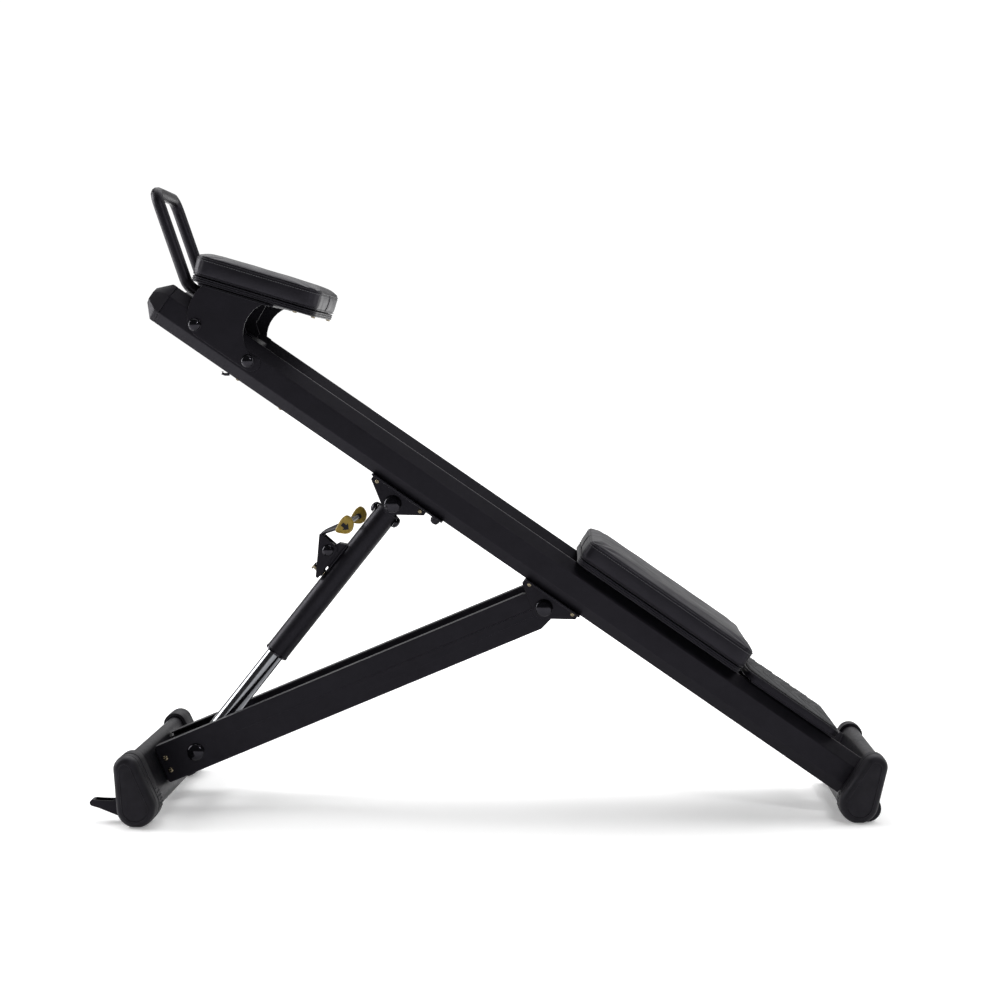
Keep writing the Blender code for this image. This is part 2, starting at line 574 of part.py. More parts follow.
def build_latch():
    """A lug on the tube, the sprung lever with two paddles, and the pin that it draws."""
    lug = ([(-TUBE_R - GAP, -0.196), (-TUBE_R - GAP, -0.134), (-0.040, -0.1415)]
           + arc(LATCH_X, LATCH_Z, 0.0155, 78, 200, 6) + [(-0.050, -0.186)])
    bolt_hole = circle(LATCH_X, LATCH_Z, LATCH_HOLE_R, 14)
    plate("latch_lug", lug, 0, 0.030, "powder", STRUT, [bolt_hole])
    turned("pin_barrel", ring(0.0085, PIN_HOLE_R, -0.0302, -TUBE_R - GAP), (0, 0, PIN_Z), "X",
           "powder", STRUT, 20)
    domed_bolt("latch_bolt", (LATCH_X, 0, LATCH_Z), 0.0195 + GAP, STRUT, 0.0130, 0.009, 0.0045)
    cheek = ([(-0.0285, -0.2275), (-0.0320, -0.1640)]
             + arc(LATCH_X + 0.003, LATCH_Z + 0.004, 0.0145, 15, 60, 3)
             + [(-0.0790, -0.1485), (-0.0835, -0.1520), (-0.0335, -0.2285)])
    lever = plate("latch_lever", cheek, 0, 0.039, "powder", STRUT, [bolt_hole])
    inside = [(-0.020, -0.2245), (-0.020, -0.13), (-0.0720, -0.1400), (-0.0750, -0.1560),
              (-0.0325, -0.2210), (-0.0300, -0.235)]
    combine(lever, plate("cut_lever", inside, 0, 0.0335, None, STRUT))
    combine(lever, box("cut_fork", (-0.080, -0.0062, -0.240), (-0.020, 0.0062, -0.199), None, STRUT))
    arm = [(-0.0790, -0.0125, -0.1540), (-0.0780, -0.0140, -0.1420), (PADDLE_X, -PADDLE_IN, PADDLE_Z)]
    back = [(x, -y, z) for x, y, z in reversed(arm)]
    combine(lever, tube("weld_yoke", fillet_path(arm + back, 0.006, 4), 0.0042, None, STRUT, 2), "UNION")
    paddle = [(PADDLE_X + x, PADDLE_Z + z) for x, z in PADDLE]
    for side, hand in ((-1, "near"), (1, "far")):
        blade = plate(f"paddle_{hand}", paddle, side * (PADDLE_IN + 0.0125), PADDLE_T, "yellow",
                      STRUT)
        soften(blade, 0.0025)
    pin = [(0, -0.0198), (0.0040, -0.0198), (0.0052, -0.0215), (0.0052, -0.0500), (0.0085, -0.0500),
           (0.0085, -0.0535), (0, -0.0535)]
    turned("lock_pin", pin, (0, 0, PIN_Z), "X", "steel", STRUT, 20)


# --- carriage and platform ----------------------------------------------------------------------
def build_carriage():
    deck, skirt, low = DECK - GAP, 0.094, -0.012
    start, end = KNEE_START + 0.030, KNEE_END - 0.030
    frame = box("carriage_frame", (start, -skirt - SHEET, low), (end, skirt + SHEET, deck),
                "powder", RAIL)
    combine(frame, box("cut_carriage", (start - 0.01, -skirt, low - 0.01),
                       (end + 0.01, skirt, deck - 0.004), None, RAIL))
    pad_pair("knee_pad", RAIL, KNEE_START, KNEE_END, KNEE_HALF, DECK, 0.022)
    for s, end in zip(ROLLER_S, ("head", "foot")):
        combine(frame, cylinder(f"cut_axle_{end}", 0.0044, 0.25, (s, 0, ROLLER_N), "Y", None, RAIL, 16))
        for side, hand in ((-1, "near"), (1, "far")):
            r, rim = ROLLER_R, 0.0075
            profile = [(0, rim + 0.001), (0.004, rim + 0.001), (0.004, rim), (r - 0.002, rim),
                       (r, rim - 0.002), (r, 0.002 - rim), (r - 0.002, -rim), (0.004, -rim),
                       (0.004, -0.030), (0, -0.030)]
            place = (s, side * (RAIL_Y - RAIL_HALF_W + 0.009), ROLLER_N)
            roller = turned(f"roller_{end}_{hand}", profile, place, "Y", "rubber", RAIL, 24)
            if side < 0:
                roller.matrix_local = Matrix.Translation(place) @ Matrix.Rotation(pi / 2, 4, "X")


def build_platform():
    """A rounded plate on a riser that rests on both rails, with a rubber tread on top."""
    edge, foot = 0.006, 0.022
    outline = rounded_box(PLATFORM_START, -PLATFORM_HALF, PLATFORM_END, PLATFORM_HALF, 0.026, 5)
    flat = Matrix.Translation((0, 0, PLATFORM_N + PLATFORM_T / 2))
    base = mesh_of_curve(outline_curve([outline], PLATFORM_T), flat)
    platform = add_object("foot_platform", base, "powder", RAIL)
    soften(platform, 0.002)
    riser = box("weld_riser", (PLATFORM_START + foot, -RAIL_Y - 0.005, RAIL_HALF_H + GAP),
                (PLATFORM_END - foot, RAIL_Y + 0.005, PLATFORM_N + PLATFORM_T / 2), None, RAIL)
    combine(platform, riser, "UNION")
    outline = rounded_box(PLATFORM_START + edge, edge - PLATFORM_HALF, PLATFORM_END - edge,
                          PLATFORM_HALF - edge, 0.022, 5)
    flat = Matrix.Translation((0, 0, PLATFORM_N + PLATFORM_T + GAP + TREAD_T / 2))
    add_object("platform_tread", mesh_of_curve(outline_curve([outline], TREAD_T), flat), "tread", RAIL)


# --- assembly -----------------------------------------------------------------------------------
def on_rail(s, n):
    """World X, Z of a point given along and above the rail's centre line."""
    return (RAIL_HEAD[0] + s * cos(RAIL_TILT) + n * sin(RAIL_TILT),
            RAIL_HEAD[1] - s * sin(RAIL_TILT) + n * cos(RAIL_TILT))


STRUT_TOP = on_rail(STRUT_PIVOT_S, STRUT_PIVOT_N)
ARM_TOP_PIVOT = on_rail(ARM_PIVOT_S, ARM_PIVOT_N)
ARM_LENGTH = hypot(ARM_TOP_PIVOT[0] - BASE_PIVOT[0], ARM_TOP_PIVOT[1] - BASE_PIVOT[1])
ARM_RISE = atan2(ARM_TOP_PIVOT[1] - BASE_PIVOT[1], ARM_TOP_PIVOT[0] - BASE_PIVOT[0])
STRUT_LENGTH = hypot(STRUT_TOP[0] - BASE_PIVOT[0], STRUT_TOP[1] - BASE_PIVOT[1])
STRUT_LEAN = atan2(STRUT_TOP[0] - BASE_PIVOT[0], STRUT_TOP[1] - BASE_PIVOT[1])

clear_scene()
PARTS = new_collection("incline_plank_trainer")
CUTTERS = new_collection("cutters")
RAIL = frame_at("rail_axis", *RAIL_HEAD, RAIL_TILT)
ARM = frame_at("base_axis", *BASE_PIVOT, -ARM_RISE)
STRUT = frame_at("strut_axis", *STRUT_TOP, STRUT_LEAN)
PAD = frame_at("elbow_pad_axis", *PAD_HEEL, PAD_SLOPE)

build_rails()
build_rail_caps()
build_head_plates()
build_head_box()
pad_pair("elbow_pad", PAD, 0.0, ELBOW_LENGTH, ELBOW_HALF, 0.0, 0.030)
build_grip()
build_pivots()
build_feet()
build_base()
build_strut()
build_rod()
build_latch()
build_carriage()
build_platform()
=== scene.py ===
"""Looks of the incline plank trainer: studio, materials, upholstered pads, stitching and small hardware.

Everything is in metres in the CAD frame: +X to the foot end, -Y the near side, +Z up, floor at 0.
The rail, arm, strut and elbow-pad frames repeat the driving dimensions of the CAD.
"""
import json
from math import atan2, cos, degrees, pi, radians, sin, sqrt

import bmesh
import bpy
from mathutils import Matrix, Vector, noise


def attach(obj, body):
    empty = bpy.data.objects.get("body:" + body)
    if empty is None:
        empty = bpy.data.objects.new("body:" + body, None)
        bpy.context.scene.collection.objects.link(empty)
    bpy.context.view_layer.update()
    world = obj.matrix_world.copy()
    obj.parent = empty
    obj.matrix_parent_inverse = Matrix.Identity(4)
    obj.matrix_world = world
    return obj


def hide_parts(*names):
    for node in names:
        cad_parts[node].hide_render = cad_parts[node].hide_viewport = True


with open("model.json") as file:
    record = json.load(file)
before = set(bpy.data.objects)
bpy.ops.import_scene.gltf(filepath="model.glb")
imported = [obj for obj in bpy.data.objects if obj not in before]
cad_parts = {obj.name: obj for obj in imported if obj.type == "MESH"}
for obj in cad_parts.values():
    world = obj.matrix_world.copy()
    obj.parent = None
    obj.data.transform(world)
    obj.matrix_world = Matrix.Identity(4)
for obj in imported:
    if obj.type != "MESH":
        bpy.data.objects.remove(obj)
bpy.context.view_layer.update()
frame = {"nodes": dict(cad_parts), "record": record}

# --- driving dimensions, as in the CAD ------------------------------------------------------------
RAIL_TILT = radians(34.5)
RAIL_HEAD = (-0.6880, 1.0659)
RAIL_END, RAIL_Y, RAIL_HALF_W, RAIL_HALF_H, RAIL_SIDE = 1.7285, 0.1325, 0.0225, 0.043, 0.020
STRUT_PIVOT_S, STRUT_PIVOT_N = 0.6395, -0.0813
ARM_PIVOT_S, ARM_PIVOT_N = 1.0203, -0.0769
UPPER_CHEEK_FACE, LOWER_CHEEK_FACE = 0.0625, 0.1005
HEAD_BOLT_S, HEAD_BOLT_N, HEAD_PLATE_FACE = (0.105, 0.2354), 0.002, 0.1593
BASE_PIVOT = (-0.6190, 0.1173)
ARM_OUT = 0.096
TUBE_R, EYE_R, CROSS_Z = 0.0254, 0.0225, -0.034
LATCH_X, LATCH_Z = -0.0475, -0.1673
FOOT_BIG, FOOT_SMALL, FOOT_REACH = 0.040, 0.026, 0.082
FOOT_Z = FOOT_BIG * cos(radians(12))
FRONT_X, FRONT_LEAN, FRONT_HALF = -0.7059, radians(-14.0), 0.245
REAR_X, REAR_LEAN, REAR_HALF = 0.7487, radians(23.0), 0.1565
PAD_HEEL, PAD_SLOPE = (-0.6123, 1.0991), radians(16.63)
ELBOW_LENGTH, ELBOW_HALF, ELBOW_CORNER = 0.267, 0.160, 0.030
KNEE_START, KNEE_END, KNEE_HALF, KNEE_CORNER = 1.0166, 1.4195, 0.175, 0.022
BOARD_T = 0.013
DECK = RAIL_HALF_H + 0.001
PLATFORM_START, PLATFORM_END, PLATFORM_HALF, TREAD_TOP = 1.430, 1.662, 0.150, 0.0643
PADDLE_X, PADDLE_Z, PADDLE_MIDDLE, PADDLE_T = -0.0470, -0.0880, 0.1300, 0.013
WHEEL_R, WHEEL_C, WHEEL_SET = 0.0275, (0.7680, 0.0280), 0.0165


def frame_at(x, z, turn):
    """The place of a frame that lies in the X-Z plane, turned about Y."""
    return Matrix.Translation((x, 0, z)) @ Matrix.Rotation(turn, 4, "Y")


RAIL = frame_at(*RAIL_HEAD, RAIL_TILT)
PAD = frame_at(*PAD_HEEL, PAD_SLOPE)
STRUT_TOP = RAIL @ Vector((STRUT_PIVOT_S, 0, STRUT_PIVOT_N))
ARM_TIP = RAIL @ Vector((ARM_PIVOT_S, 0, ARM_PIVOT_N))
FOOT_PIVOT = Vector((BASE_PIVOT[0], 0, BASE_PIVOT[1]))
STRUT = frame_at(STRUT_TOP.x, STRUT_TOP.z, atan2(*(STRUT_TOP - FOOT_PIVOT).xz))
ARM = frame_at(*BASE_PIVOT, -atan2((ARM_TIP - FOOT_PIVOT).z, (ARM_TIP - FOOT_PIVOT).x))
WORLD = Matrix.Identity(4)
SIDES = ((-1, "near"), (1, "far"))


# --- materials ------------------------------------------------------------------------------------
COOL = (0.88, 0.84, 1.0)


class Shader:
    """A Principled material and short calls to wire procedural detail into it."""

    def __init__(self, name, colour, roughness, metallic=0.0, coat=0.0, specular=0.5,
                 tint=(1.0, 1.0, 1.0)):
        self.material = bpy.data.materials.new(name)
        self.material.use_nodes = True
        self.tree = self.material.node_tree
        self.bsdf = self.tree.nodes["Principled BSDF"]
        self.colour, self.roughness = colour, roughness
        self.set(self.bsdf, **{"Base Color": (*colour, 1), "Roughness": roughness, "Metallic": metallic,
                               "Coat Weight": coat, "Coat Roughness": 0.08, "Specular IOR Level": specular,
                               "Specular Tint": (*tint, 1)})
        self.coords = self.tree.nodes.new("ShaderNodeTexCoord").outputs["Object"]
        self.height = None

    def set(self, node, **values):
        for socket, value in values.items():
            node.inputs[socket].default_value = value

    def link(self, output, node, socket):
        self.tree.links.new(output, node.inputs[socket])

    def node(self, kind, **values):
        made = self.tree.nodes.new("ShaderNode" + kind)
        self.set(made, **values)
        return made

    def noise(self, scale, detail=3.0, stretch=(1, 1, 1)):
        made = self.node("TexNoise", Scale=scale, Detail=detail, Roughness=0.55)
        mapping = self.node("Mapping", Scale=stretch)
        self.link(self.coords, mapping, "Vector")
        self.link(mapping.outputs["Vector"], made, "Vector")
        return made.outputs["Fac"]

    def cells(self, scale, feature="SMOOTH_F1"):
        made = self.node("TexVoronoi", Scale=scale)
        made.feature = feature
        self.link(self.coords, made, "Vector")
        return made.outputs["Distance"]

    def remap(self, value, low, high, to_low, to_high):
        made = self.node("MapRange", **{"From Min": low, "From Max": high, "To Min": to_low,
                                        "To Max": to_high})
        self.link(value, made, "Value")
        return made.outputs["Result"]

    def maths(self, kind, a, b):
        made = self.tree.nodes.new("ShaderNodeMath")
        made.operation = kind
        for slot, value in enumerate((a, b)):
            if isinstance(value, float):
                made.inputs[slot].default_value = value
            else:
                self.tree.links.new(value, made.inputs[slot])
        return made.outputs[0]

    def mottle(self, value, low, high, darker, lighter):
        """The colour varies between two multiples of itself with a value."""
        ramp = self.tree.nodes.new("ShaderNodeValToRGB")
        ramp.color_ramp.elements[0].position = low
        ramp.color_ramp.elements[1].position = high
        for element, factor in zip(ramp.color_ramp.elements, (darker, lighter)):
            element.color = (*(channel * factor for channel in self.colour), 1)
        self.link(value, ramp, "Fac")
        self.link(ramp.outputs["Color"], self.bsdf, "Base Color")
        return self

    def vary_roughness(self, value, low, high, spread):
        swing = self.remap(value, low, high, self.roughness - spread, self.roughness + spread)
        self.link(swing, self.bsdf, "Roughness")
        return self

    def bump(self, value, depth, strength=1.0):
        made = self.node("Bump", Strength=strength, Distance=depth)
        self.link(value, made, "Height")
        if self.height is not None:
            self.link(self.height, made, "Normal")
        self.height = made.outputs["Normal"]
        self.link(self.height, self.bsdf, "Normal")
        return self


def powder_coat(name="powder_coat", colour=(0.0042, 0.0039, 0.0052), roughness=0.42):
    """Satin black powder coat: fine orange peel, faint handling marks."""
    coat = Shader(name, colour, roughness, specular=0.18, tint=COOL)
    coat.mottle(coat.noise(26, 4), 0.35, 0.70, 0.85, 1.25)
    coat.vary_roughness(coat.maths("MULTIPLY", coat.noise(9, 5), coat.noise(140, 2)), 0.12, 0.40, 0.06)
    coat.bump(coat.noise(620, 2), 0.00022, 0.55)
    coat.bump(coat.noise(95, 2), 0.00030, 0.20)
    return coat.material


def gloss_plastic():
    gloss = Shader("gloss_plastic", (0.0030, 0.0030, 0.0038), 0.15,
                   coat=0.06, specular=0.28, tint=COOL)
    gloss.vary_roughness(gloss.noise(70, 5), 0.30, 0.70, 0.05)
    gloss.bump(gloss.noise(210, 2), 0.00010, 0.25)
    return gloss.material


def upholstery():
    """Black vinyl with a pebbled leather grain and slight rubbing on the worn areas."""
    vinyl = Shader("upholstery_vinyl", (0.0060, 0.0057, 0.0072), 0.42, specular=0.21, tint=COOL)
    grain = vinyl.cells(820)
    vinyl.mottle(vinyl.noise(14, 5), 0.30, 0.72, 0.85, 1.30)
    vinyl.vary_roughness(vinyl.noise(22, 6), 0.30, 0.70, 0.07)
    vinyl.bump(vinyl.noise(60, 3), 0.0006, 0.18)
    vinyl.bump(grain, 0.00028, 0.55)
    return vinyl.material


def moulded_rubber(name="moulded_rubber", colour=(0.0060, 0.0058, 0.0066), roughness=0.54):
    """Matte black rubber with a fine spark-eroded grain and a little dust."""
    rubber = Shader(name, colour, roughness, specular=0.22, tint=COOL)
    rubber.mottle(rubber.noise(48, 6), 0.40, 0.78, 0.90, 1.55)
    rubber.vary_roughness(rubber.noise(31, 4), 0.30, 0.70, 0.08)
    rubber.bump(rubber.cells(1100, "F1"), 0.00012, 0.45)
    return rubber.material


def chromed_steel():
    """Bright plate with faint draw lines from sliding."""
    chrome = Shader("chromed_steel", (0.22, 0.225, 0.24), 0.16, metallic=1.0)
    chrome.mottle(chrome.noise(12, 4), 0.35, 0.75, 0.88, 1.06)
    chrome.vary_roughness(chrome.noise(320, 3, (1, 1, 0.06)), 0.35, 0.72, 0.06)
    chrome.bump(chrome.noise(900, 2, (1, 1, 0.05)), 0.00004, 0.25)
    return chrome.material


def zinc_steel():
    zinc = Shader("zinc_steel", (0.26, 0.22, 0.15), 0.24, metallic=1.0)
    zinc.mottle(zinc.noise(260, 4), 0.30, 0.72, 0.72, 1.15)
    zinc.vary_roughness(zinc.noise(420, 3), 0.30, 0.70, 0.10)
    zinc.bump(zinc.noise(1500, 2), 0.00004, 0.30)
    return zinc.material


def paddle_plastic():
    """Mustard moulded nylon, slightly soiled in random patches."""
    yellow = Shader("paddle_plastic", (0.260, 0.175, 0.020), 0.40, specular=0.35)
    yellow.mottle(yellow.noise(90, 5), 0.30, 0.75, 0.72, 1.08)
    yellow.vary_roughness(yellow.noise(150, 3), 0.30, 0.70, 0.07)
    yellow.bump(yellow.noise(1300, 2), 0.00008, 0.35)
    return yellow.material


def stitch_thread():
    thread = Shader("stitch_thread", (0.060, 0.060, 0.066), 0.60, specular=0.35)
    thread.mottle(thread.noise(700, 3), 0.30, 0.70, 0.75, 1.35)
    thread.bump(thread.noise(2600, 2), 0.00010, 0.50)
    return thread.material


def tread_rubber(name="tread_rubber", colour=(0.016, 0.016, 0.018)):
    """Ribbed rubber; the ribs are a lighter grey than the grooves between them."""
    tread = Shader(name, colour, 0.70, specular=0.18)
    tread.mottle(tread.noise(90, 6), 0.32, 0.72, 0.85, 1.20)
    tread.vary_roughness(tread.noise(70, 4), 0.30, 0.70, 0.09)
    tread.bump(tread.noise(1200, 3), 0.00016, 0.55)
    return tread.material


POWDER, GLOSS, VINYL, RUBBER = powder_coat(), gloss_plastic(), upholstery(), moulded_rubber()
CHROME, ZINC, YELLOW, THREAD, TREAD = (chromed_steel(), zinc_steel(), paddle_plastic(), stitch_thread(),
                                       tread_rubber())
MARKING = powder_coat("marking_ink", (0.010, 0.010, 0.011), 0.48)
RIBS = tread_rubber("tread_ribs", (0.048, 0.048, 0.051))
BY_SLOT = {"frame_coat": POWDER, "gloss_cap": GLOSS, "vinyl": VINYL, "rubber": RUBBER, "tread": TREAD,
           "chrome": CHROME, "paddle": YELLOW, "fastener": ZINC}

# --- CAD nodes that stay --------------------------------------------------------------------------
CREASED = ("rail_near", "rail_far", "arm_near", "arm_far")
EDGE_WIDTH = {"rail": 0.0013, "arm": 0.0022, "rail_cap": 0.0014, "head_plate": 0.0010, "lift_step": 0.0012,
              "upper_bracket": 0.0008, "lower_bracket": 0.0008, "latch_lever": 0.0006,
              "front_foot": 0.0, "rear_foot": 0.0, "front_cross_tube": 0.0, "rear_cross_tube": 0.0,
              "elbow_pad_cushion": 0.0, "knee_pad_cushion": 0.0, "grip_loop": 0.0, "strut_rod": 0.0,
              "strut_tube": 0.0006, "platform_tread": 0.0010, "roller_head": 0.0, "roller_foot": 0.0}
EDGE_DEFAULT, CREASE_ANGLE, EDGE_ANGLE = 0.0006, radians(14), radians(32)
WELD_DISTANCE, FACE_WEIGHT = 0.00002, 80


def finish_cad_nodes():
    """Every CAD node that stays gets its slot's material and small rounded edges that catch the light."""
    slots = {part["node"]: part["material_slot"] for part in frame["record"]["subparts"]}
    for name, node in frame["nodes"].items():
        surface = BY_SLOT[slots[name]]
        node.data.materials.clear()
        node.data.materials.append(surface)
        weld = node.modifiers.new("weld", "WELD")
        weld.merge_threshold = WELD_DISTANCE
        width = EDGE_WIDTH.get(name.rsplit("_", 1)[0], EDGE_WIDTH.get(name, EDGE_DEFAULT))
        if width:
            bevel = node.modifiers.new("soft edges", "BEVEL")
            bevel.width = width
            bevel.segments = 2
            bevel.limit_method = "ANGLE"
            bevel.angle_limit = CREASE_ANGLE if name in CREASED else EDGE_ANGLE
        normals = node.modifiers.new("flat faces", "WEIGHTED_NORMAL")
        normals.weight = FACE_WEIGHT
        normals.keep_sharp = True
        for polygon in node.data.polygons:
            polygon.use_smooth = True


# --- mesh helpers ---------------------------------------------------------------------------------
def piece(name, bm, surface, body, replaced=(), smooth=True, sharp=40):
    """Turn a bmesh into a named piece that rides on a body."""
    mesh = bpy.data.meshes.new(name)
    bmesh.ops.recalc_face_normals(bm, faces=bm.faces)
    bm.to_mesh(mesh)
    bm.free()
    if smooth:
        mesh.shade_smooth()
        mesh.set_sharp_from_angle(angle=radians(sharp))
    mesh.materials.append(surface)
    obj = bpy.data.objects.new(name, mesh)
    bpy.context.scene.collection.objects.link(obj)
    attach(obj, body)
    if replaced:
        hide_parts(*replaced)
    return obj


def skin(bm, rings):
    """Quads between equal rings of vertices."""
    for a, b in zip(rings, rings[1:]):
        for i in range(len(a)):
            j = (i + 1) % len(a)
            bm.faces.new((a[i], a[j], b[j], b[i]))


def sweep(bm, points, radius, sides=8, loop=False, flatten=1.0, up=Vector((0, 0, 1))):
    """A bar along points; flatten squeezes it along the direction that stays closest to up."""
    points = [Vector(p) for p in points]
    count, rings = len(points), []
    radii = radius if isinstance(radius, list) else [radius] * count
    for i, point in enumerate(points):
        before = points[(i - 1) % count] if loop or i else point
        after = points[(i + 1) % count] if loop or i < count - 1 else point
        along = (after - before).normalized()
        across = along.cross(up)
        across = across.normalized() if across.length > 0.05 else along.orthogonal().normalized()
        lift = across.cross(along)
        ring = []
        for k in range(sides):
            a = 2 * pi * k / sides
            ring.append(bm.verts.new(point + across * radii[i] * cos(a) + lift * radii[i] * flatten * sin(a)))
        rings.append(ring)
    if loop:
        rings.append(rings[0])
    skin(bm, rings)
    if not loop:
        bm.faces.new(rings[0])
        bm.faces.new(rings[-1])


def lathe(bm, profile, place, sides=24):
    """A closed body of (radius, height) turned about the local Z of a place; radius 0 closes an end."""
    rings = []
    for radius, height in profile:
        if radius == 0:
            rings.append([bm.verts.new(place @ Vector((0, 0, height)))])
        else:
            rings.append([bm.verts.new(place @ Vector((radius * cos(2 * pi * k / sides),
                                                       radius * sin(2 * pi * k / sides), height)))
                          for k in range(sides)])
    for a, b in zip(rings, rings[1:]):
        for i in range(sides):
            j = (i + 1) % sides
            if len(a) == 1:
                bm.faces.new((a[0], b[j], b[i]))
            elif len(b) == 1:
                bm.faces.new((a[i], a[j], b[0]))
            else:
                bm.faces.new((a[i], a[j], b[j], b[i]))


def slab(bm, outline, low, high, place, edge=0.0):
    """A flat outline (a, b) given thickness along local Z from low to high, its rims eased by edge."""
    middle = Vector((sum(a for a, b in outline) / len(outline), sum(b for a, b in outline) / len(outline)))
    rings = []
    for height, inset in ((low, edge), (low + edge, 0.0), (high - edge, 0.0), (high, edge)):
        ring = []
        for a, b in outline:
            inward = (middle - Vector((a, b))).normalized() * inset
            ring.append(bm.verts.new(place @ Vector((a + inward.x, b + inward.y, height))))
        rings.append(ring)
    skin(bm, rings)
    bm.faces.new(rings[0])
    bm.faces.new(rings[-1])


def arc(cx, cz, radius, start, end, steps):
    return [(cx + radius * cos(radians(start + (end - start) * i / steps)),
             cz + radius * sin(radians(start + (end - start) * i / steps))) for i in range(steps + 1)]


def facing(base, point, side):
    """A place at a point of a frame whose local Z looks across the machine, towards a side."""
    return base @ Matrix.Translation(point) @ Matrix.Rotation(-side * pi / 2, 4, "X")


def flip(side):
    """Keeps an outline's (x, z) upright on a place made by facing()."""
    return Matrix.Diagonal((1, -side, 1, 1))


END_ON = Matrix(((0, 0, 1, 0), (1, 0, 0, 0), (0, 1, 0, 0), (0, 0, 0, 1)))   # outline (y, n), along s


# --- upholstered pads -----------------------------------------------------------------------------
class Pad:
    """A rectangular upholstered pad, drawn centred with its underside at 0."""

    def __init__(self, name, place, length, half, corner, body):
        self.name, self.body = name, body
        self.half_l, self.half_w, self.corner = length / 2, half, corner
        self.place = place @ Matrix.Translation((length / 2, 0, 0))

    def lines(self, half, corner_cells=7, cell=0.0072):
        """Grid lines across one direction, closer in the corners."""
        straight = half - self.corner
        cells = max(4, round(2 * straight / cell))
        start = [-half + self.corner * i / corner_cells for i in range(corner_cells)]
        middle = [-straight + 2 * straight * i / cells for i in range(cells + 1)]
        return start + middle + [-a for a in reversed(start)]

    def rounded(self, x, y):
        """A rectangle's point moved so that the corner cells become quarter discs."""
        out_x, out_y = abs(x) - self.half_l + self.corner, abs(y) - self.half_w + self.corner
        if out_x <= 0 or out_y <= 0:
            return x, y
        u, v = out_x / self.corner, out_y / self.corner
        new_x = self.half_l - self.corner + self.corner * u * sqrt(1 - v * v / 2)
        new_y = self.half_w - self.corner + self.corner * v * sqrt(1 - u * u / 2)
        return (new_x if x > 0 else -new_x), (new_y if y > 0 else -new_y)

    def outward(self, x, y):
        core_x = max(-self.half_l + self.corner, min(self.half_l - self.corner, x))
        core_y = max(-self.half_w + self.corner, min(self.half_w - self.corner, y))
        return Vector((x - core_x, y - core_y)).normalized()

    def pulled(self, x, y, inset):
        """Inward by inset, and a little more between the corners."""
        normal = self.outward(x, y)
        hollow = PULL_IN * (normal.y ** 2 * (1 - (x / self.half_l) ** 2)
                            + normal.x ** 2 * (1 - (y / self.half_w) ** 2))
        return x - normal.x * (inset + hollow), y - normal.y * (inset + hollow)

    def scaled(self, x, y, inset):
        return x * (1 - inset / self.half_l), y * (1 - inset / self.half_w)

    def border(self, grid):
        """The grid's outer vertices in order."""
        last_i, last_j = len(grid) - 1, len(grid[0]) - 1
        return ([grid[i][0] for i in range(last_i)] + [grid[last_i][j] for j in range(last_j)]
                + [grid[i][last_j] for i in range(last_i, 0, -1)]
                + [grid[0][j] for j in range(last_j, 0, -1)])

    def shell(self, rows, crown=0.0):
        """A closed mesh: a top sheet, rows of (inset, height) down the side, and a flat underside."""
        bm = bmesh.new()
        xs, ys = self.lines(self.half_l), self.lines(self.half_w)
        sheets = []
        for inset, height, rise in ((rows[0][0], rows[0][1], crown), (rows[-1][0], rows[-1][1], 0.0)):
            grid = []
            for x in xs:
                column = []
                for y in ys:
                    edge = (1 - (x / self.half_l) ** 6) * (1 - (y / self.half_w) ** 6)
                    a, b = self.scaled(*self.rounded(x, y), inset)
                    if x in (xs[0], xs[-1]) or y in (ys[0], ys[-1]):
                        a, b = self.pulled(*self.rounded(x, y), inset)
                    column.append(bm.verts.new((a, b, height + rise * edge)))
                grid.append(column)
            sheets.append(grid)
        outline = [self.rounded(x, y) for x, y in self.border([[(x, y) for y in ys] for x in xs])]
        rings = [self.border(sheets[0])]
        for inset, height in rows[1:-1]:
            rings.append([bm.verts.new((*self.pulled(x, y, inset), height)) for x, y in outline])
        rings.append(self.border(sheets[1]))
        for grid in sheets:
            for a, b in zip(grid, grid[1:]):
                for j in range(len(ys) - 1):
                    bm.faces.new((a[j], a[j + 1], b[j + 1], b[j]))
        skin(bm, rings)
        bmesh.ops.recalc_face_normals(bm, faces=bm.faces)
        bm.verts.index_update()
        return bm, [[v.index for v in ring] for ring in rings]


PULL_IN = 0.0016
CUSHION_ROWS = ((0.0085, 0.0448), (0.0050, 0.0440), (0.0022, 0.0422), (0.0008, 0.0400), (0.0024, 0.0387),
                (0.0006, 0.0373), (0.0, 0.0330), (0.0, 0.0260), (0.0, 0.0190), (0.0, 0.0110),
                (0.0006, 0.0053), (0.0026, 0.0039), (0.0010, 0.0025), (0.0030, 0.0006), (0.0060, 0.0))
TOP_SEAM, TOP_WELT, FIRST_BAND, LAST_BAND, LOW_SEAM = 4, 5, 6, 9, 11
BOARD_ROWS = ((0.0060, 0.0128), (0.0030, 0.0126), (0.0012, 0.0117), (0.0004, 0.0105), (0.0012, 0.0094),
              (0.0029, 0.0086), (0.0010, 0.0078), (0.0002, 0.0066), (0.0010, 0.0054), (0.0029, 0.0046),
              (0.0012, 0.0037), (0.0006, 0.0024), (0.0018, 0.0011), (0.0040, 0.0003), (0.0070, 0.0))
CROWN, SWELL_CAP, SIM_FRAMES = 0.0035, 0.0042, 20
STITCH_PITCH, STITCH_LENGTH, STITCH_R = 0.0052, 0.0036, 0.00070


